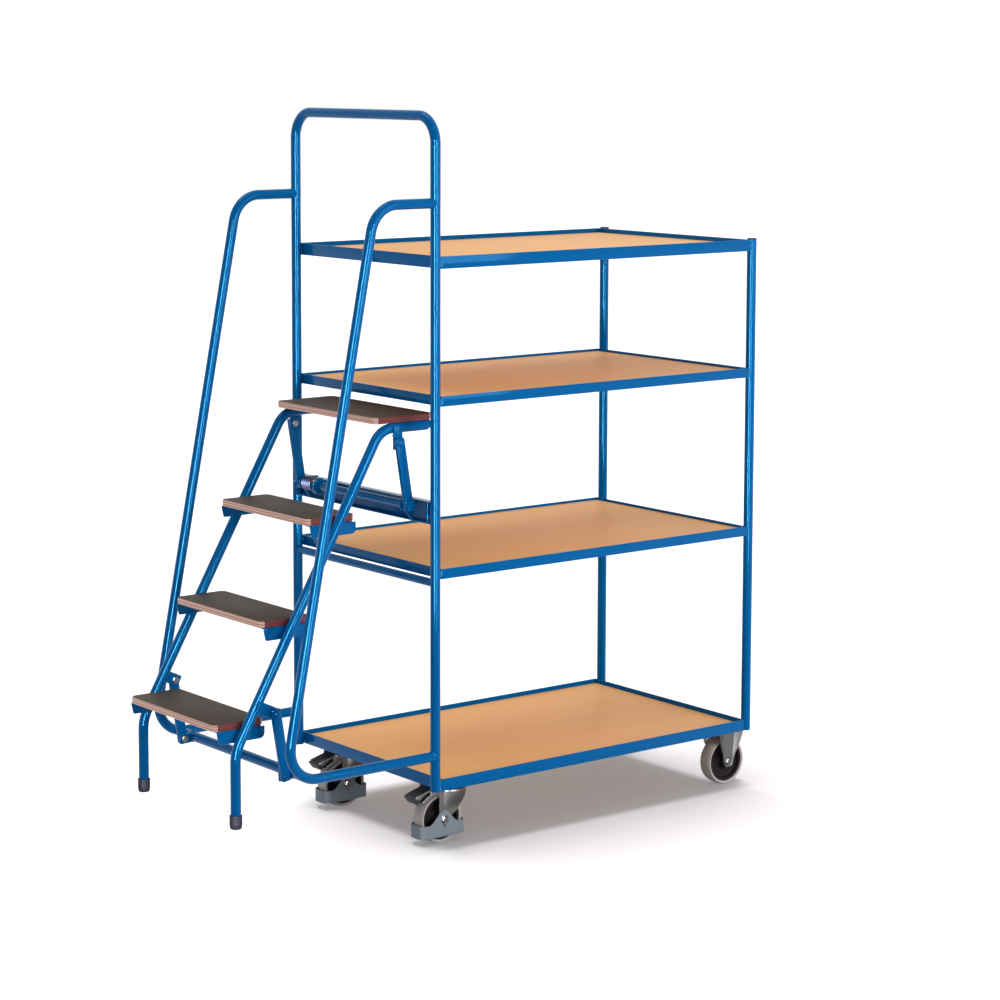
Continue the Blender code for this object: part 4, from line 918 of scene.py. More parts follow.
def lug_plate(bm, outline, side):
    """Square-cut lug welded against the outside of a tube."""
    slab(bm, soften(outline, LUG_CORNER, 4), side * LUG_Y, side * (LUG_Y + LUG), upright,
         SHEET_EDGE)


def twin_beads(bm, spot, run, spread, reach, share):
    """Two weld beads beside each other along a run."""
    rim = Vector((-run.z, 0, run.x)) * spread
    for way in WAYS:
        centre = spot + rim * way
        bead(bm, line(centre - run * reach, centre + run * reach), share)


def cross_tube(bm, radius, centre, side, share):
    """Tube across the trolley, with a weld seam round each end."""
    reach = POST_Y - SEATED
    rod(bm, radius, -reach, reach, bpy.context.scene.trolley_sizes.tube_sides, centre)
    for way in WAYS:
        seam = saddle(centre + Vector((0, way * POST_Y, 0)), Vector((0, -way, 0)), side, radius,
                      TUBE_R)
        bead(bm, seam, share, closed=True)


def make_handrails():
    """Handrails, the tie between them with its lugs, and the stay below the low shelf."""
    weld = bpy.context.scene.trolley_sizes.weld
    for side_name, side in SIDES:
        node, y = f"handrail_{side_name}", side * POST_Y
        low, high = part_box(node)
        base, top = low.z + TUBE_R, high.z - TUBE_R
        bm = bmesh.new()
        run_tube(bm, [at(-SEATED, y, top), at(-RAIL_TOP, y, top), at(-RAIL_FOOT, y, base),
                      at(-SEATED, y, base)], RAIL_BEND, RAIL_BEND)
        for height in (top, base):
            seam = saddle(at(0, y, height), Vector((-1, 0, 0)), Vector((0, 1, 0)), TUBE_R, TUBE_R)
            bead(bm, seam, BEAD, closed=True)
        add_piece(f"side_rail_{side_name}", bm, "paint", "chassis", node)
    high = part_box("rail_tie")[1]
    eye = Vector((high.x - TIE_LUG_R, 0, high.z - TIE_LUG_R))
    bm, nuts = bmesh.new(), bmesh.new()
    cross_tube(bm, TUBE_R, eye, Vector((0, 0, 1)), BEAD)
    for way in WAYS:
        lug_plate(bm, strap(eye, LOWER_PIVOT, LUG_HALF, TIE_LUG_BACK, LUG_HALF), way)
        for y in (LUG_Y - weld * BEAD_ASIDE, LUG_Y + LUG + weld * BEAD_ASIDE):
            seam = [eye + upright(u, v, way * y) for u, v in circle(TUBE_R + weld * BEAD_OUT, 56)]
            bead(bm, seam, BEAD, closed=True)
        pivot_stud(bm, nuts, LOWER_PIVOT, way)
    add_piece("tie_tube", bm, "paint", "chassis", "rail_tie")
    add_piece("tie_nuts", nuts, "zinc", "chassis")
    low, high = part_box("shelf_stay")
    bm = bmesh.new()
    cross_tube(bm, (high.z - low.z) / 2, at(0, 0, (high.z + low.z) / 2), Vector((1, 0, 0)),
               THIN_BEAD)
    add_piece("stay_tube", bm, "paint", "chassis", "shelf_stay")


def make_lift():
    """Channel with its bearings, lift shaft, torsion spring and the upper and lower links."""
    make_channel()
    make_shaft()
    make_spring()
    for name, pivot in (("upper_link", LIFT), ("lower_link", LOWER_PIVOT)):
        top = pivot + (LADDER_PIVOT - LIFT)
        outline = soften(strap(pivot, top, LINK_R, LINK_R, LINK_R), LINK_CORNER, 6)
        for side_name, side in SIDES:
            bm = bmesh.new()
            slab(bm, outline, side * LINK_Y, side * LINK_FACE, upright, LINK_EDGE, 3)
            add_piece(f"{name}_bar_{side_name}", bm, "paint", f"{name}s", f"{name}_{side_name}")


def make_channel():
    """Pressed channel between the posts, open to the ladder, with two bearing plates."""
    weld, wall = bpy.context.scene.trolley_sizes.weld, FRAME_WALL
    back, front = TUBE_R + RUN, -TUBE_R - RUN
    top, base = CHANNEL_TOP, CHANNEL_TOP - CHANNEL_HEIGHT
    outline = soften([(front, base), (back, base), (back, top), (front, top), (front, top - wall),
                      (back - wall, top - wall), (back - wall, base + wall), (front, base + wall)],
                     CHANNEL_CORNERS, 5)
    reach = POST_Y - TUBE_R * CHANNEL_SEAT_SHARE
    plate = [Vector((front + WELD, base + WELD)), Vector((front + WELD, top - WELD)),
             *arc((LIFT.x - POST_X, LIFT.z), LUG_NOSE, QUARTER, QUARTER * 3, 18),
             Vector((front - WELD, base + WELD))]
    bm = bmesh.new()
    loft(bm, [[at(p.x, y, p.y) for p in outline] for y in (-reach, reach)])
    for way in WAYS:
        y = way * (SPAN - weld)
        for x in (front, back):
            bead(bm, line(at(x, y, base + weld), at(x, y, top - weld)), BEAD)
        slab(bm, plate, way * (LUG_Y - LUG), way * LUG_Y, lambda u, v, w: at(u, w, v), THIN_EDGE)
        turned(bm, [(SHAFT_R + out, way * (LUG_Y + rise)) for out, rise in BEARING_ROWS], 36, LIFT,
               closed=True)
    add_piece("pressed_channel", bm, "paint", "chassis", "lift_channel")


def make_shaft():
    """Turned shaft with its shoulders, clamp collar, set bolt and end nuts."""
    shoulder, nut, bevel = LINK_Y - FIT, LINK_FACE + FIT, SHAFT_BEVEL
    half = [(0, nut), (STUB_R, nut), (STUB_R, shoulder), (SHAFT_R - bevel, shoulder),
            (SHAFT_R, shoulder - bevel)]
    near, far = COLLAR_Y, COLLAR_Y + COLLAR_WIDTH
    collar = [(SHAFT_R, near), (COLLAR_R - bevel, near), (COLLAR_R, near + bevel),
              (COLLAR_R, far - bevel), (COLLAR_R - bevel, far), (SHAFT_R, far)]
    bm = bmesh.new()
    turned(bm, [*[(r, -y) for r, y in half], *collar, *reversed(half)], 40, LIFT)
    for way in WAYS:
        bolt_head(bm, LIFT + Vector((0, way * nut, 0)), way, SHAFT_NUT, SHAFT_NUT_HEIGHT)
    add_piece("turned_shaft", bm, "paint", "upper_links", "lift_shaft")
    bm = bmesh.new()
    screw = LIFT + Vector((-COLLAR_R + WELD, (near + far) / 2, 0))
    bolt_head(bm, screw, -1, COLLAR_BOLT, COLLAR_BOLT_HEIGHT, endways, 1.0)
    turn = Matrix.Rotation(COLLAR_BOLT_TURN, 3, "Y")
    bmesh.ops.rotate(bm, cent=LIFT, matrix=turn, verts=bm.verts)
    add_piece("collar_bolt", bm, "zinc", "upper_links")


def make_spring(steps=36):
    """Torsion spring round the shaft: close turns, a hooked foot and a straight leg."""
    start, count = COLLAR_Y + COLLAR_WIDTH + FIT, SPRING_TURNS * steps
    coil = []
    for step in range(count + 1):
        angle = QUARTER + FULL_TURN * (count - step) / steps
        coil.append(LIFT + Vector((COIL_R * math.cos(angle),
                                   start + SPRING_FOOT + SPRING_PITCH * step / steps,
                                   COIL_R * math.sin(angle))))
    foot = Vector((coil[0].x, start, coil[0].z))
    bend = corner_arc(foot, coil[0], coil[3], WIRE_R * 2, 8)
    bm = bmesh.new()
    sweep(bm, [foot, *bend, *coil[4:], coil[-1] + Vector((SPRING_LEG, 0, 0))], WIRE_R, 14)
    add_piece("wound_spring", bm, "spring", "chassis", "torsion_spring")


def make_ladder():
    """Stringers with lugs and feet, treads and the brackets under them."""
    for side_name, side in SIDES:
        make_stringer(side_name, side)
        node = f"ladder_foot_{side_name}"
        low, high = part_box(node)
        outer, bore = (high.x - low.x) / 2, TUBE_R + FIT
        base, rim = low.z, high.z
        profile = [(0, base), (outer * FOOT_SOLE_SHARE, base), (outer, base + FOOT_FLARE),
                   (outer * FOOT_WAIST_SHARE, rim - FOOT_LIP[0]), (outer, rim - FOOT_LIP[1]),
                   (outer, rim), (bore, rim), (bore, base + FOOT_SOLE), (0, base + FOOT_SOLE)]
        bm = bmesh.new()
        turned(bm, soften(profile, FOOT_CORNERS, 4, closed=False), 44,
               Vector((LEG_X, side * STRINGER_Y, 0)), level)
        add_piece(f"rubber_foot_{side_name}", bm, "rubber", "ladder", node)
    for number in (1, 2, 3, 4):
        make_tread(number)
    for number in (1, 2, 3):
        for side_name, side in SIDES:
            make_bracket(number, side_name, side)


def make_stringer(side_name, side):
    """Bent side tube with the lugs of both link pivots and its end cut back below."""
    y, weld = side * STRINGER_Y, bpy.context.scene.trolley_sizes.weld
    tip = at(LADDER_END, y, LADDER_Z)
    bm, nuts = bmesh.new(), bmesh.new()
    run_tube(bm, [Vector((LEG_X, y, LEG_BASE)), Vector((LEG_X, y, LEG_CORNER)),
                  at(-LADDER_TOP, y, LADDER_Z), tip], LEG_BEND, LADDER_BEND)
    for vert in bm.verts:
        if vert.co.x > tip.x - TINY:
            vert.co.x -= max(LADDER_Z - vert.co.z, 0) * LADDER_END_CUT
    seat = Vector((LADDER_PIVOT.x, 0, LADDER_Z - LUG_SEAT))
    rise = BRACKET_PIVOT.z + BRACKET_RAISE
    root = Vector((slope_x(rise), 0, rise))
    lug_plate(bm, strap(seat, LADDER_PIVOT, LUG_HALF, LUG_NOSE, LUG_NOSE), side)
    lug_plate(bm, strap(root, BRACKET_PIVOT, BRACKET_NOSE, SEATED, BRACKET_NOSE), side)
    face = Vector((0, side * (LUG_Y - weld * BEAD_OUT), 0))
    for centre, run in ((seat, Vector((1, 0, 0))), (root, SLOPE_RUN)):
        twin_beads(bm, centre + face, run, TUBE_R * LUG_SEAM_SHARE, LUG_SEAM_REACH, LUG_BEAD)
    for pivot in (LADDER_PIVOT, BRACKET_PIVOT):
        pivot_stud(bm, nuts, pivot, side)
    add_piece(f"ladder_tube_{side_name}", bm, "paint", "ladder", f"stringer_{side_name}")
    add_piece(f"ladder_nuts_{side_name}", nuts, "zinc", "ladder")


def make_tread(number):
    """Plywood tread: film above and below, sealed plies on its edges and ends, the ends darker with
    end grain and painted shade.
    """
    low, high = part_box(f"tread_{number}")
    if number == 4:
        high.x -= LAST_TREAD_BACK
    c = TREAD_CLIP
    outline = [(low.x + c, low.y), (high.x - c, low.y), (high.x, low.y + c), (high.x, high.y - c),
               (high.x - c, high.y), (low.x + c, high.y), (low.x, high.y - c), (low.x, low.y + c)]
    bm = bmesh.new()
    slab(bm, soften(outline, TREAD_CORNER), low.z, high.z, level,
         bpy.context.scene.trolley_sizes.tread_edge)
    bmesh.ops.recalc_face_normals(bm, faces=bm.faces)
    # Faces across Y get the darker end colour, which is end grain and painted shade
    for face in bm.faces:
        if abs(face.normal.z) < TOP_FACING:
            face.material_index = 2 if abs(face.normal.y) > END_FACING else 1
    add_piece(f"ply_tread_{number}", bm, "film", "ladder", f"tread_{number}")


def make_bracket(number, side_name, side):
    """Ledge and rounded cheek under one end of a tread, welded inside a stringer."""
    weld = bpy.context.scene.trolley_sizes.weld
    node = f"tread_bracket_{number}_{side_name}"
    low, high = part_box(f"tread_{number}")
    centre, depth = (low.x + high.x) / 2, high.x - low.x
    top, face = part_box(node)[1].z, STRINGER_Y - TUBE_R - FIT
    half = depth / 2 - TREAD_CLIP
    inner, outer = sorted((side * face, side * (face - LEDGE_WIDTH)))
    ledge = rectangle(centre - half, inner, centre + half, outer)
    cheek = [(centre + x * depth, top - WELD + z * CHEEK_DROP) for x, z in CHEEK_SHARES]
    bm = bmesh.new()
    slab(bm, soften(ledge, LEDGE_CORNER, 3), top - LEDGE, top, level, SHEET_EDGE)
    slab(bm, soften(cheek, CHEEK_CORNERS, 6), side * (face - CHEEK), side * face, upright,
         CHEEK_EDGE)
    z = top - CHEEK_DROP / 2
    spot = Vector((slope_x(z), side * (face + weld * CHEEK_BEAD_OUT), z))
    twin_beads(bm, spot, SLOPE_RUN, TUBE_R * CHEEK_SEAM_SHARE, CHEEK_SEAM, THIN_BEAD)
    add_piece(f"bracket_{number}_{side_name}", bm, "paint", "ladder", node)


def make_wheel(kind, side_name):
    """Moulded dished core with a steel bush, and the cast tyre round it."""
    core, tyre = f"{kind}_core_{side_name}", f"{kind}_tyre_{side_name}"
    body, axle = f"{kind}_wheel_{side_name}", middle(core)
    low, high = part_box(tyre)
    radius, wall = (high.z - low.z) / 2, (high.y - low.y) / 2
    rim, face = radius - TYRE, HUB_FACE
    rows = [(rim + FIT + rise, wall * share) for rise, share in TYRE_SEAT_ROWS]
    rows += [(radius - rise, wall * share) for rise, share in TYRE_TREAD_ROWS]
    bm = bmesh.new()
    turned(bm, mirrored(rows), 96, axle, closed=True)
    add_piece(f"tyre_{kind}_{side_name}", bm, "tyre", body, tyre)
    rows = [(BUSH_R, face), (HUB_R * HUB_BEVEL_SHARE, face)]
    rows += [(HUB_R + rise, face * share) for rise, share in HUB_ROWS]
    rows += [(rim - rise, face * share) for rise, share in RIM_ROWS]
    bm = bmesh.new()
    turned(bm, mirrored(soften(rows, CORE_CORNERS, 3, closed=False)), 96, axle, closed=True)
    add_piece(f"core_{kind}_{side_name}", bm, "core", body, core)
    end = -face - PROUD
    bm = bmesh.new()
    turned(bm, mirrored([(AXLE_R, end), (BUSH_R - FIT, end)]), 36, axle, closed=True)
    add_piece(f"bush_{kind}_{side_name}", bm, "zinc", body)


def castor_plate(bm, centre, top, bolts):
    """Pressed plate with round corners, and four hexagon bolts up through it."""
    x, y = PLATE_LENGTH / 2, PLATE_WIDTH / 2
    outline = rectangle(centre.x - x, centre.y - y, centre.x + x, centre.y + y)
    slab(bm, soften(outline, PLATE_CORNER, 7), top - PLATE, top, level)
    along, across = bolts
    for x, y in rectangle(-along, -across, along, across):
        bolt_head(bm, Vector((centre.x + x, centre.y + y, top - PLATE)), -1, PLATE_BOLT,
                  PLATE_BOLT_HEIGHT, level)


def axle_bolt(bm, axle, face, across, height, washer):
    """Axle through a fork, with a hexagon head at each end."""
    rod(bm, AXLE_R, -face, face, 28, axle)
    for way in WAYS:
        bolt_head(bm, axle + Vector((0, way * face, 0)), way, across, height, washer=washer)


def make_swivel_castors():
    """Two swivel castors with total lock: plate, fork, wheel, guard, pedal and axle."""
    for side_name, _ in SIDES:
        node = f"swivel_plate_{side_name}"
        low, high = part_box(node)
        kingpin, axle = middle(node), middle(f"swivel_core_{side_name}")
        kingpin.z = 0
        rows = [(radius, high.z - PLATE + rise) for radius, rise in RACE_ROWS]
        rows += [(radius, DISH_TOP + rise) for radius, rise in KINGPIN_ROWS]
        bm = bmesh.new()
        castor_plate(bm, kingpin, high.z, SWIVEL_BOLTS)
        turned(bm, [*rows, (KINGPIN_NUT_R, low.z), (0, low.z)], 56, kingpin, level)
        add_piece(f"top_plate_{side_name}", bm, "zinc", "chassis", node)
        make_swivel_fork(side_name, kingpin, axle)
        make_guard(side_name, axle)
        make_pedal(side_name, axle)
        make_wheel("swivel", side_name)
        bm = bmesh.new()
        axle_bolt(bm, axle, GUARD_OUT + FIT, *SWIVEL_AXLE_HEAD)
        add_piece(f"axle_bolt_{side_name}", bm, "zinc", f"swivel_{side_name}",
                  f"swivel_axle_{side_name}")


def bell_leg(bm, kingpin, axle, way, columns=22, rows=34):
    """Pressed leg that starts as the dish's round skirt and flattens down to the boss."""
    top, foot = DISH_TOP - DISH_SKIRT + WELD, axle.z - BOSS_R
    trail = axle.x - kingpin.x
    flank = ((axle.z, trail + BOSS_R), (axle.z + BELL_WIDE[0], trail + BELL_WIDE[1]),
             (axle.z + BELL_HIGH[0], BELL_HIGH[1]), (top + BELL_OVER, BELL_HIGH[1]))
    sections = []
    for row in range(rows + 1):
        z = foot + (top - foot) * row / rows
        half = math.sqrt(max(BOSS_R ** 2 - max(axle.z - z, 0) ** 2, 1e-8))
        start, end = trail - min(half, BELL_BACK), trail + half
        for (low_z, low_x), (high_z, high_x) in zip(flank, flank[1:]):
            if low_z <= z <= high_z + 1e-9:
                end = low_x + (high_x - low_x) * (z - low_z) / (high_z - low_z)
        share = min(max((z - BELL_FOOT) / (top - BELL_FOOT), 0), 1)
        eased = (1 - math.cos(share * math.pi)) / 2
        swell = eased * BELL_EASE_SHARE + share * (1 - BELL_EASE_SHARE)
        outer, inner = [], []
        for column in range(columns + 1):
            x = start + (end - start) * column / columns
            bulge = math.sqrt(max(SKIRT_R ** 2 - x ** 2, FORK_OUT ** 2)) - FORK_OUT
            y = FORK_OUT + max(bulge, 0) * swell
            outer.append(kingpin + Vector((x, way * y, z)))
            inner.append(kingpin + Vector((x, way * (y - FORK_WALL), z)))
        sections.append(outer + inner[::-1])
    loft(bm, sections)


def make_swivel_fork(side_name, kingpin, axle):
    """Dish, two bell legs, the arch over the wheel and the pedal's pin."""
    centre = Vector((axle.x - ARCH_SHIFT, axle.z))
    ear = Vector((axle.x - PEDAL_BACK, PEDAL_Z))
    web = [Vector((kingpin.x + x, axle.z + z)) for x, z in WEB_POINTS]
    outline = [*arc(ear, EAR_R, EAR_START, EAR_END, 16),
               *arc(centre, ARCH_R, ARCH_TOP, ARCH_BACK, 14),
               *arc(centre, ARCH_R - ARCH_BAND, ARCH_BACK, ARCH_INNER, 22),
               *web, Vector((web[-1].x, PEDAL_Z))]
    arch = [*arc(centre, ARCH_R - FIT, ARCH_FRONT, ARCH_BACK, 30),
            *arc(centre, ARCH_R - ARCH_SHEET, ARCH_BACK, ARCH_FRONT, 30)]
    dish = soften([(radius, DISH_TOP + rise) for radius, rise in DISH_ROWS], DISH_CORNERS, 5)
    bm = bmesh.new()
    turned(bm, dish, 64, kingpin, level, closed=True)
    for way in WAYS:
        bell_leg(bm, kingpin, axle, way)
        slab(bm, outline, kingpin.y + way * FORK_IN, kingpin.y + way * (FORK_OUT - FIT), upright,
             SHEET_EDGE)
    lip = FORK_OUT + FIT * 2
    slab(bm, arch, kingpin.y - lip, kingpin.y + lip, upright, THIN_EDGE)
    head = [(radius, FORK_OUT + rise) for radius, rise in PIN_HEAD_ROWS]
    turned(bm, mirrored([*head, (PIN_R, FORK_OUT)]), 28, Vector((ear.x, kingpin.y, ear.y)))
    add_piece(f"pressed_fork_{side_name}", bm, "zinc", f"swivel_{side_name}",
              f"swivel_fork_{side_name}")


def guard_plan(face, inward):
    """Plan of the foot guard as a closed rounded hoop, its long sides in steps."""
    x, y, radius = GUARD_LENGTH / 2 - inward, face - inward, GUARD_END_R - inward
    straight = x - radius
    points = []
    for way in WAYS:
        for step in range(1, GUARD_STEPS):
            points.append(Vector((way * straight * (1 - 2 * step / GUARD_STEPS), way * y)))
        for row, start in ((way, QUARTER * way), (-way, QUARTER * way + QUARTER)):
            points += arc((-way * straight, row * (y - radius)), radius, start, start + QUARTER, 8)
    return points


def make_guard(side_name, axle):
    """Hoop round the wheel, raised to a rounded crown over the axle, with a black disc on each side
    that paints the shade of a hole.
    """
    node, body = f"foot_guard_{side_name}", f"swivel_{side_name}"
    low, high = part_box(node)
    face, base, soft = (high.y - low.y) / 2, GUARD_BASE, GUARD_ROUND
    plans = [guard_plan(face, inward) for inward in (0, soft, GUARD_WALL - soft, GUARD_WALL)]
    sections = []
    for index, outer in enumerate(plans[0]):
        share = min(abs(outer.x) / GUARD_SPAN, 1)
        top = GUARD_TOP + GUARD_CROWN * (1 + math.cos(share * math.pi)) / 2
        rows = ((0, base + soft), (0, top - soft), (1, top), (2, top), (3, top - soft),
                (3, base + soft), (2, base), (1, base))
        sections.append([axle + Vector((*plans[row][index], z)) for row, z in rows])
    bm, hole_shades = bmesh.new(), bmesh.new()
    loft(bm, sections, closed=True)
    for way in WAYS:
        boss = axle + Vector((0, way * face, 0))
        turned(bm, [(radius, way * rise) for radius, rise in GUARD_BOSS_ROWS], 48, boss)
        # Thin black disc that paints the shade of a hole below the axle
        rod(hole_shades, HOLE_SHADE_R, -way * soft, way * PROUD, 24, boss + HOLE_SHADE_AT)
    add_piece(f"guard_hoop_{side_name}", bm, "guard", body, node)
    add_piece(f"sight_plug_{side_name}", hole_shades, "pedal", body)


def make_pedal(side_name, axle):
    """Foot pedal: nylon body with steel tread bars and pressed side plates at its pivot."""
    node, body = f"brake_pedal_{side_name}", f"pedal_{side_name}"
    low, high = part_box(node)
    half = (high.y - low.y) / 2
    core = half - PEDAL_PLATE
    outline, plate = ([Vector((axle.x + x * axle.z, axle.z + z * axle.z)) for x, z in shares]
                      for shares in (PEDAL_SHARES, PEDAL_PLATE_SHARES))
    eye = arc((axle.x - PEDAL_BACK, PEDAL_Z), PEDAL_EYE, -QUARTER, QUARTER, 12)
    bm = bmesh.new()
    slab(bm, soften(eye + outline, PEDAL_ROUND), axle.y - core, axle.y + core, upright,
         PEDAL_ROUND)
    add_piece(f"nylon_pedal_{side_name}", bm, "pedal", body, node)
    heel, tip = outline[:2]
    run = (tip - heel).normalized()
    rise = Vector((run.y, -run.x))
    bm = bmesh.new()
    for index in range(PEDAL_BARS):
        spot = tip - run * (PEDAL_BAR_START + PEDAL_BAR_PITCH * index)
        bar = [spot + run * along + rise * up for along, up in PEDAL_BAR]
        reach = core * PEDAL_BAR_SHARE
        slab(bm, bar, axle.y - reach, axle.y + reach, upright, PEDAL_BAR_EDGE, 1)
    for way in WAYS:
        slab(bm, soften(plate, PEDAL_PLATE_CORNER, 3), axle.y + way * core, axle.y + way * half,
             upright, FLAT_EDGE)
    add_piece(f"pedal_plates_{side_name}", bm, "zinc", body)


def smooth_rows(rows, count):
    """Rows of values made finer by a smooth curve through them."""
    fine = []
    for index in range(len(rows) - 1):
        before, first = rows[max(index - 1, 0)], rows[index]
        second, after = rows[index + 1], rows[min(index + 2, len(rows) - 1)]
        for t in [step / count for step in range(count)]:
            fine.append([
                0.5 * (2 * b + (c - a) * t + (2 * a - 5 * b + 4 * c - d) * t ** 2
                       + (3 * b - a - 3 * c + d) * t ** 3)
                for a, b, c, d in zip(before, first, second, after)
            ])
    return fine + [list(rows[-1])]


def make_fixed_castors():
    """Two fixed castors: plate, winged legs, axle bolt and wheel."""
    for side_name, _ in SIDES:
        node = f"fixed_fork_{side_name}"
        top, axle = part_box(node)[1].z, middle(f"fixed_core_{side_name}")
        rise, size = top - PLATE / 2 - axle.z, axle.z * 2
        bm = bmesh.new()
        castor_plate(bm, axle, top, FIXED_BOLTS)
        for way in WAYS:
            sections = []
            for share, web, along, out in smooth_rows(FIXED_LEG_SHARES, FIXED_LEG_STEPS):
                x, a, o = web * size, along * size, out * size
                plan = [(-x, 0), (x, 0), (x + a, o), (x + a, o + FORK_WALL), (x, FORK_WALL),
                        (-x, FORK_WALL), (-x - a, o + FORK_WALL), (-x - a, o)]
                soft = min(WING_ROUND, a * WING_ROUND_SHARE)
                ring = soften(plan, (soft, soft, WING_EDGE, WING_EDGE) * 2, 4)
                sections.append([axle + Vector((p.x, way * (FORK_IN + p.y), share * rise))
                                 for p in ring])
            loft(bm, sections)
        axle_bolt(bm, axle, FORK_OUT, *FIXED_AXLE_HEAD)
        add_piece(f"winged_fork_{side_name}", bm, "zinc", "chassis", node)
        make_wheel("fixed", side_name)


# Settings of the panel

class TrolleySizes(bpy.types.PropertyGroup):
    """Sizes of the dressed trolley that a user may change."""
    tube_sides: bpy.props.IntProperty(
        name="Tube sides", description="Facets round a tube", default=32, min=8, max=96)
    bend_steps: bpy.props.IntProperty(
        name="Bend steps", description="Steps in each bend of a tube", default=20, min=4, max=64)
    weld: bpy.props.FloatProperty(
        name="Weld bead", description="Size of the weld beads", default=0.0022,
        min=0.0005, max=0.006, unit="LENGTH")
    board_edge: bpy.props.FloatProperty(
        name="Board edge", description="Rounding of the shelf boards' edges", default=0.0006,
        min=0.0001, max=0.003, unit="LENGTH")
    tread_edge: bpy.props.FloatProperty(
        name="Tread edge", description="Rounding of the treads' edges", default=0.0007,
        min=0.0001, max=0.003, unit="LENGTH")


def colour_setting(name, description, colour):
    """Property for the colour of a finish."""
    return bpy.props.FloatVectorProperty(
        name=name, description=description, default=linear(colour), subtype="COLOR", size=4,
        min=0, max=1)


class TrolleyFinishes(bpy.types.PropertyGroup):
    """Colours of the dressed trolley that a user may change."""
    paint: colour_setting("Paint", "Powder coat on all painted steel", "005690")
    beech: colour_setting("Beech", "Foil on the shelf boards", "E4AB6C")
    film: colour_setting("Film", "Film on the treads", "40362F")
    edge: colour_setting("Ply edge", "Sawn edge of the treads", "D2AE9E")
    # Darker copy of the ply edge: end grain of the tread ends, and painted shade on them
    end: colour_setting("Ply end", "Stained ends of the treads", "6C3230")
    tyre: colour_setting("Tyre", "Rubber of the wheels", "A6A19D")
    guard: colour_setting("Foot guard", "Nylon of the foot guards", "6F7982")
    zinc: colour_setting("Zinc", "Plating of forks and bolts", "605F5E")


class TrolleyStage(bpy.types.PropertyGroup):
    """Lights of the stage that a user may change."""
    dome: bpy.props.FloatProperty(
        name="Dome", description="Strength of the light from all round", default=0.62,
        min=0, max=1)
    overhead: bpy.props.FloatProperty(
        name="Overhead", description="Strength of the light from above", default=1.2,
        min=0, max=6)
    fill: bpy.props.FloatProperty(
        name="Fill", description="Power of the soft box at the right", default=165,
        min=0, max=500, subtype="POWER")
    strip: bpy.props.FloatProperty(
        name="Strip", description="Power of the strip at the left, twice that at the right",
        default=640, min=0, max=2000, subtype="POWER")


# Stage

def make_stage():
    """Floor, dome, camera and lamps."""
    bpy.context.scene.view_settings.view_transform = "Standard"
    floor = make_floor()
    make_world()
    make_camera()
    make_lamps(floor)


def seen_ray(tree):
    """Socket that is 1 where the camera, a gloss or a clear piece looks."""
    rays = add_node(tree, "LightPath").node.outputs
    seen = rays["Is Camera Ray"]
    for kind in ("Is Glossy Ray", "Is Transmission Ray"):
        seen = add_node(tree, "Math", {0: seen, 1: rays[kind]}, operation="MAXIMUM")
    return seen


def make_floor():
    """Pale floor that keeps the shadow and meets a white background."""
    bm = bmesh.new()
    turned(bm, [(0, 0), (FLOOR_R, 0), (FLOOR_R, -FLOOR_DEPTH), (0, -FLOOR_DEPTH)], 96, Vector(),
           level)
    bmesh.ops.recalc_face_normals(bm, faces=bm.faces)
    mesh = bpy.data.meshes.new("studio_floor")
    bm.to_mesh(mesh)
    bm.free()
    # Matt painted floor: white where it is looked at, and greyer in the light it throws back
    material, tree, place = start_material("matt_painted_floor")
    tree.nodes.remove(tree.nodes["Principled BSDF"])
    cloud = add_node(tree, "TexNoise", {"Vector": place, "Scale": 2.0, "Detail": 1.0})
    thrown = mix(tree, cloud, linear("868688"), linear("8C8C8E"))
    thrown, seen = (add_node(tree, "BsdfDiffuse", {"Color": colour})
                    for colour in (thrown, FLOOR_SEEN))
    surface = add_node(tree, "MixShader", {"Fac": seen_ray(tree), 1: thrown, 2: seen})
    feed(tree, tree.nodes["Material Output"], {"Surface": surface})
    mesh.materials.append(material)
    floor = bpy.data.objects.new("studio_floor", mesh)
    bpy.context.scene.collection.objects.link(floor)
    return floor


def make_world():
    """Soft studio dome, white where the camera, a gloss or a clear piece sees it."""
    world = bpy.data.worlds.new("studio_dome")
    world.use_nodes = True
    tree, dome = world.node_tree, bpy.context.scene.trolley_stage.dome
    strength = add_node(tree, "MapRange", {"Value": seen_ray(tree), "To Min": dome, "To Max": 1.0})
    feed(tree, tree.nodes["Background"], {"Color": WHITE, "Strength": strength})
    bpy.context.scene.world = world


def make_camera():
    """Camera at the photograph's viewing angle."""
    data = bpy.data.cameras.new("studio_camera")
    data.sensor_width, data.lens = CAMERA_SENSOR, CAMERA_LENS
    data.shift_x, data.shift_y = CAMERA_SHIFT
    data.clip_end = CAMERA_FAR
    camera = bpy.data.objects.new("studio_camera", data)
    camera.location = CAMERA_PLACE
    ahead = Vector((math.sin(CAMERA_YAW) * math.cos(CAMERA_PITCH),
                    math.cos(CAMERA_YAW) * math.cos(CAMERA_PITCH), math.sin(CAMERA_PITCH)))
    camera.rotation_euler = ahead.to_track_quat("-Z", "Y").to_euler()
    bpy.context.scene.collection.objects.link(camera)
    bpy.context.scene.camera = camera


def linked(name, pieces, state):
    """Collection for light linking: only these pieces, or all but them."""
    made = bpy.data.collections.new(name)
    for index, piece in enumerate(pieces):
        made.objects.link(piece)
        made.collection_objects[index].light_linking.link_state = state
    return made


def named(*starts):
    """Objects whose names start with one of some words."""
    return [piece for piece in bpy.context.scene.objects if piece.name.startswith(starts)]


def add_lamp(name, kind, place, aim, energy, pieces, state, **settings):
    """Lamp at a place, turned to a point, that lights only some pieces or all but them."""
    data = bpy.data.lights.new(name, kind)
    data.energy = energy
    for key, value in settings.items():
        setattr(data, key, value)
    lamp = bpy.data.objects.new(name, data)
    lamp.location = place
    lamp.rotation_euler = (Vector(aim) - Vector(place)).to_track_quat("-Z", "Y").to_euler()
    lamp.visible_camera = False
    bpy.context.scene.collection.objects.link(lamp)
    lamp.light_linking.receiver_collection = linked(f"{name}_lights", pieces, state)
    return lamp


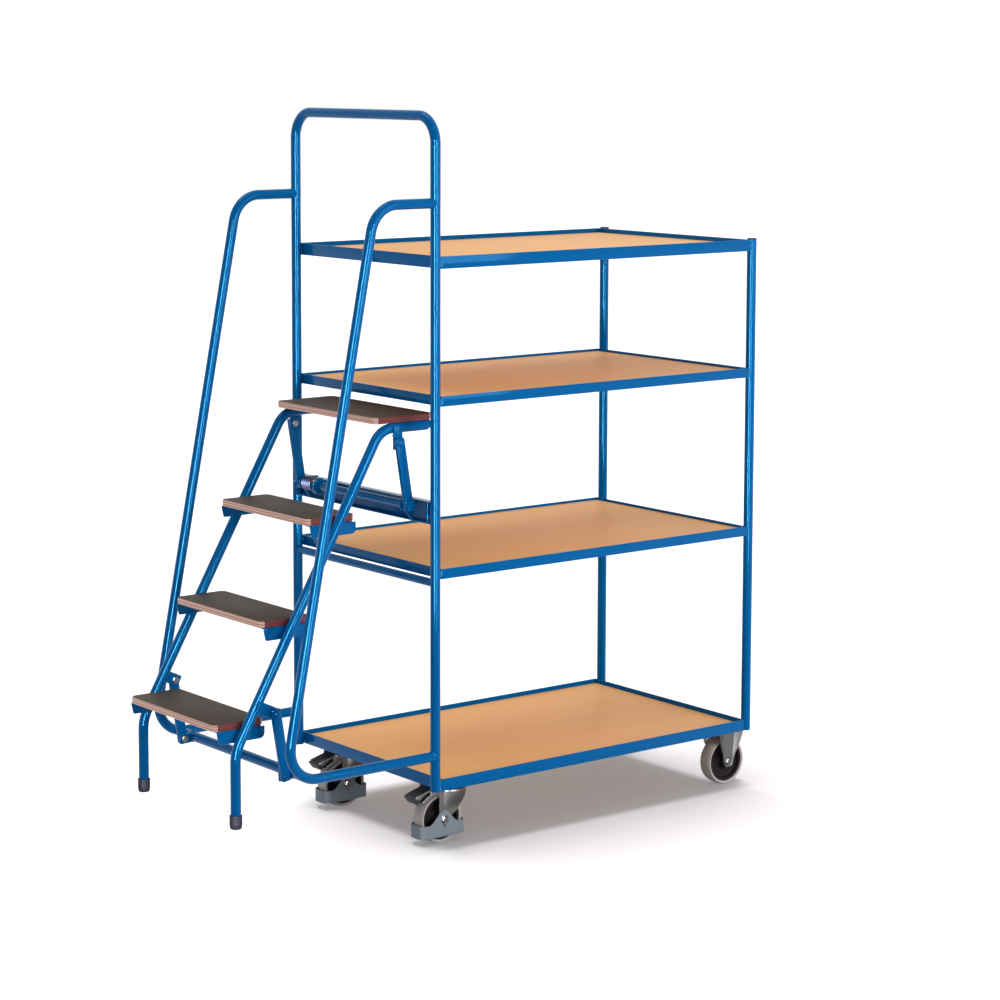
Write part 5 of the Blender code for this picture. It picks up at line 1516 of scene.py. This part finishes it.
def make_lamps(floor):
    """Lights from above, a soft fill, and strips for bright lines along the tubes."""
    stage, ground = bpy.context.scene.trolley_stage, (0, 0, 0)
    add_lamp("overhead_sky", "SUN", SKY_PLACE, ground, stage.overhead, [floor], "EXCLUDE",
             angle=SKY_ANGLE)
    # Almost straight above, so the shadow lies under the trolley
    ceiling = add_lamp("ceiling_light", "SUN", CEILING_PLACE, ground,
                       stage.overhead * CEILING_SHARE, [floor], "INCLUDE", angle=CEILING_ANGLE)
    # The photograph's floor keeps the rack's shadow alone, grey and even
    passed = named("ladder_", "ply_tread", "bracket_", "rubber_foot", "side_rail", "upper_link",
                   "lower_link")
    ceiling.light_linking.blocker_collection = linked("ceiling_light_passes", passed, "EXCLUDE")
    add_lamp("floor_glow", "SUN", (0, 0, 4), ground, FLOOR_GLOW, [floor], "INCLUDE",
             use_shadow=False)
    flat, wheels = named("beech_board", "ply_tread"), named("core_", "tyre_")
    # Boards and treads would glare at low angles, so their soft box has no gloss
    for name, pieces, state in (("fill_softbox", [floor, *flat], "EXCLUDE"),
                                ("board_softbox", flat, "INCLUDE")):
        fill = add_lamp(name, "AREA", FILL_PLACE, FILL_AIM, stage.fill, pieces, state,
                        shape="RECTANGLE", size=FILL_SIZE[0], size_y=FILL_SIZE[1])
        fill.visible_glossy = state == "EXCLUDE"
    # The strips show in gloss alone, and not on boards, treads and wheels
    for name, place, aim, share, width in STRIPS:
        strip = add_lamp(name, "AREA", place, aim, stage.strip * share, [floor, *flat, *wheels],
                         "EXCLUDE", shape="RECTANGLE", size=width, size_y=STRIP_HEIGHT)
        strip.visible_diffuse = False


# Steps

class TROLLEY_OT_posts(bpy.types.Operator):
    """Make the push handle, the posts and their caps"""
    bl_idname = "trolley.posts"
    bl_label = "Posts and handle"

    def execute(self, context):
        make_posts()
        return {"FINISHED"}


class TROLLEY_OT_shelves(bpy.types.Operator):
    """Make the shelf frames, boards and castor flats"""
    bl_idname = "trolley.shelves"
    bl_label = "Shelves"

    def execute(self, context):
        make_shelves()
        return {"FINISHED"}


class TROLLEY_OT_handrails(bpy.types.Operator):
    """Make the handrails, their tie and the stay"""
    bl_idname = "trolley.handrails"
    bl_label = "Handrails"

    def execute(self, context):
        make_handrails()
        return {"FINISHED"}


class TROLLEY_OT_lift(bpy.types.Operator):
    """Make the channel, shaft, spring and links of the lift"""
    bl_idname = "trolley.lift"
    bl_label = "Lift"

    def execute(self, context):
        make_lift()
        return {"FINISHED"}


class TROLLEY_OT_ladder(bpy.types.Operator):
    """Make the stringers, treads, brackets and feet"""
    bl_idname = "trolley.ladder"
    bl_label = "Ladder"

    def execute(self, context):
        make_ladder()
        return {"FINISHED"}


class TROLLEY_OT_swivel_castors(bpy.types.Operator):
    """Make the two swivel castors with total lock"""
    bl_idname = "trolley.swivel_castors"
    bl_label = "Swivel castors"

    def execute(self, context):
        make_swivel_castors()
        return {"FINISHED"}


class TROLLEY_OT_fixed_castors(bpy.types.Operator):
    """Make the two fixed castors"""
    bl_idname = "trolley.fixed_castors"
    bl_label = "Fixed castors"

    def execute(self, context):
        make_fixed_castors()
        return {"FINISHED"}


class TROLLEY_OT_stage(bpy.types.Operator):
    """Make the floor, dome, camera and lamps"""
    bl_idname = "trolley.stage"
    bl_label = "Stage"

    def execute(self, context):
        make_stage()
        return {"FINISHED"}


STEPS = (TROLLEY_OT_posts, TROLLEY_OT_shelves, TROLLEY_OT_handrails, TROLLEY_OT_lift,
         TROLLEY_OT_ladder, TROLLEY_OT_swivel_castors, TROLLEY_OT_fixed_castors, TROLLEY_OT_stage)


class TROLLEY_PT_panel(bpy.types.Panel):
    """Sizes, colours and steps of the trolley"""
    bl_label = "Order picking trolley"
    bl_idname = "TROLLEY_PT_panel"
    bl_space_type = "VIEW_3D"
    bl_region_type = "UI"
    bl_category = "Trolley"

    def draw(self, context):
        layout = self.layout
        for group in (context.scene.trolley_sizes, context.scene.trolley_finishes,
                      context.scene.trolley_stage):
            for name in group.__annotations__:
                layout.prop(group, name)
        for step in STEPS:
            layout.operator(step.bl_idname)


def register():
    """Register the groups, operators and panel."""
    for kind in (TrolleySizes, TrolleyFinishes, TrolleyStage, *STEPS, TROLLEY_PT_panel):
        bpy.utils.register_class(kind)
    bpy.types.Scene.trolley_sizes = bpy.props.PointerProperty(type=TrolleySizes)
    bpy.types.Scene.trolley_finishes = bpy.props.PointerProperty(type=TrolleyFinishes)
    bpy.types.Scene.trolley_stage = bpy.props.PointerProperty(type=TrolleyStage)


def unregister():
    """Undo register."""
    del bpy.types.Scene.trolley_stage
    del bpy.types.Scene.trolley_finishes
    del bpy.types.Scene.trolley_sizes
    for kind in (TROLLEY_PT_panel, *reversed(STEPS), TrolleyStage, TrolleyFinishes, TrolleySizes):
        bpy.utils.unregister_class(kind)


def main():
    """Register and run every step."""
    register()
    for step in STEPS:
        group, name = step.bl_idname.split(".")
        getattr(getattr(bpy.ops, group), name)()


if __name__ == "__main__":
    main()
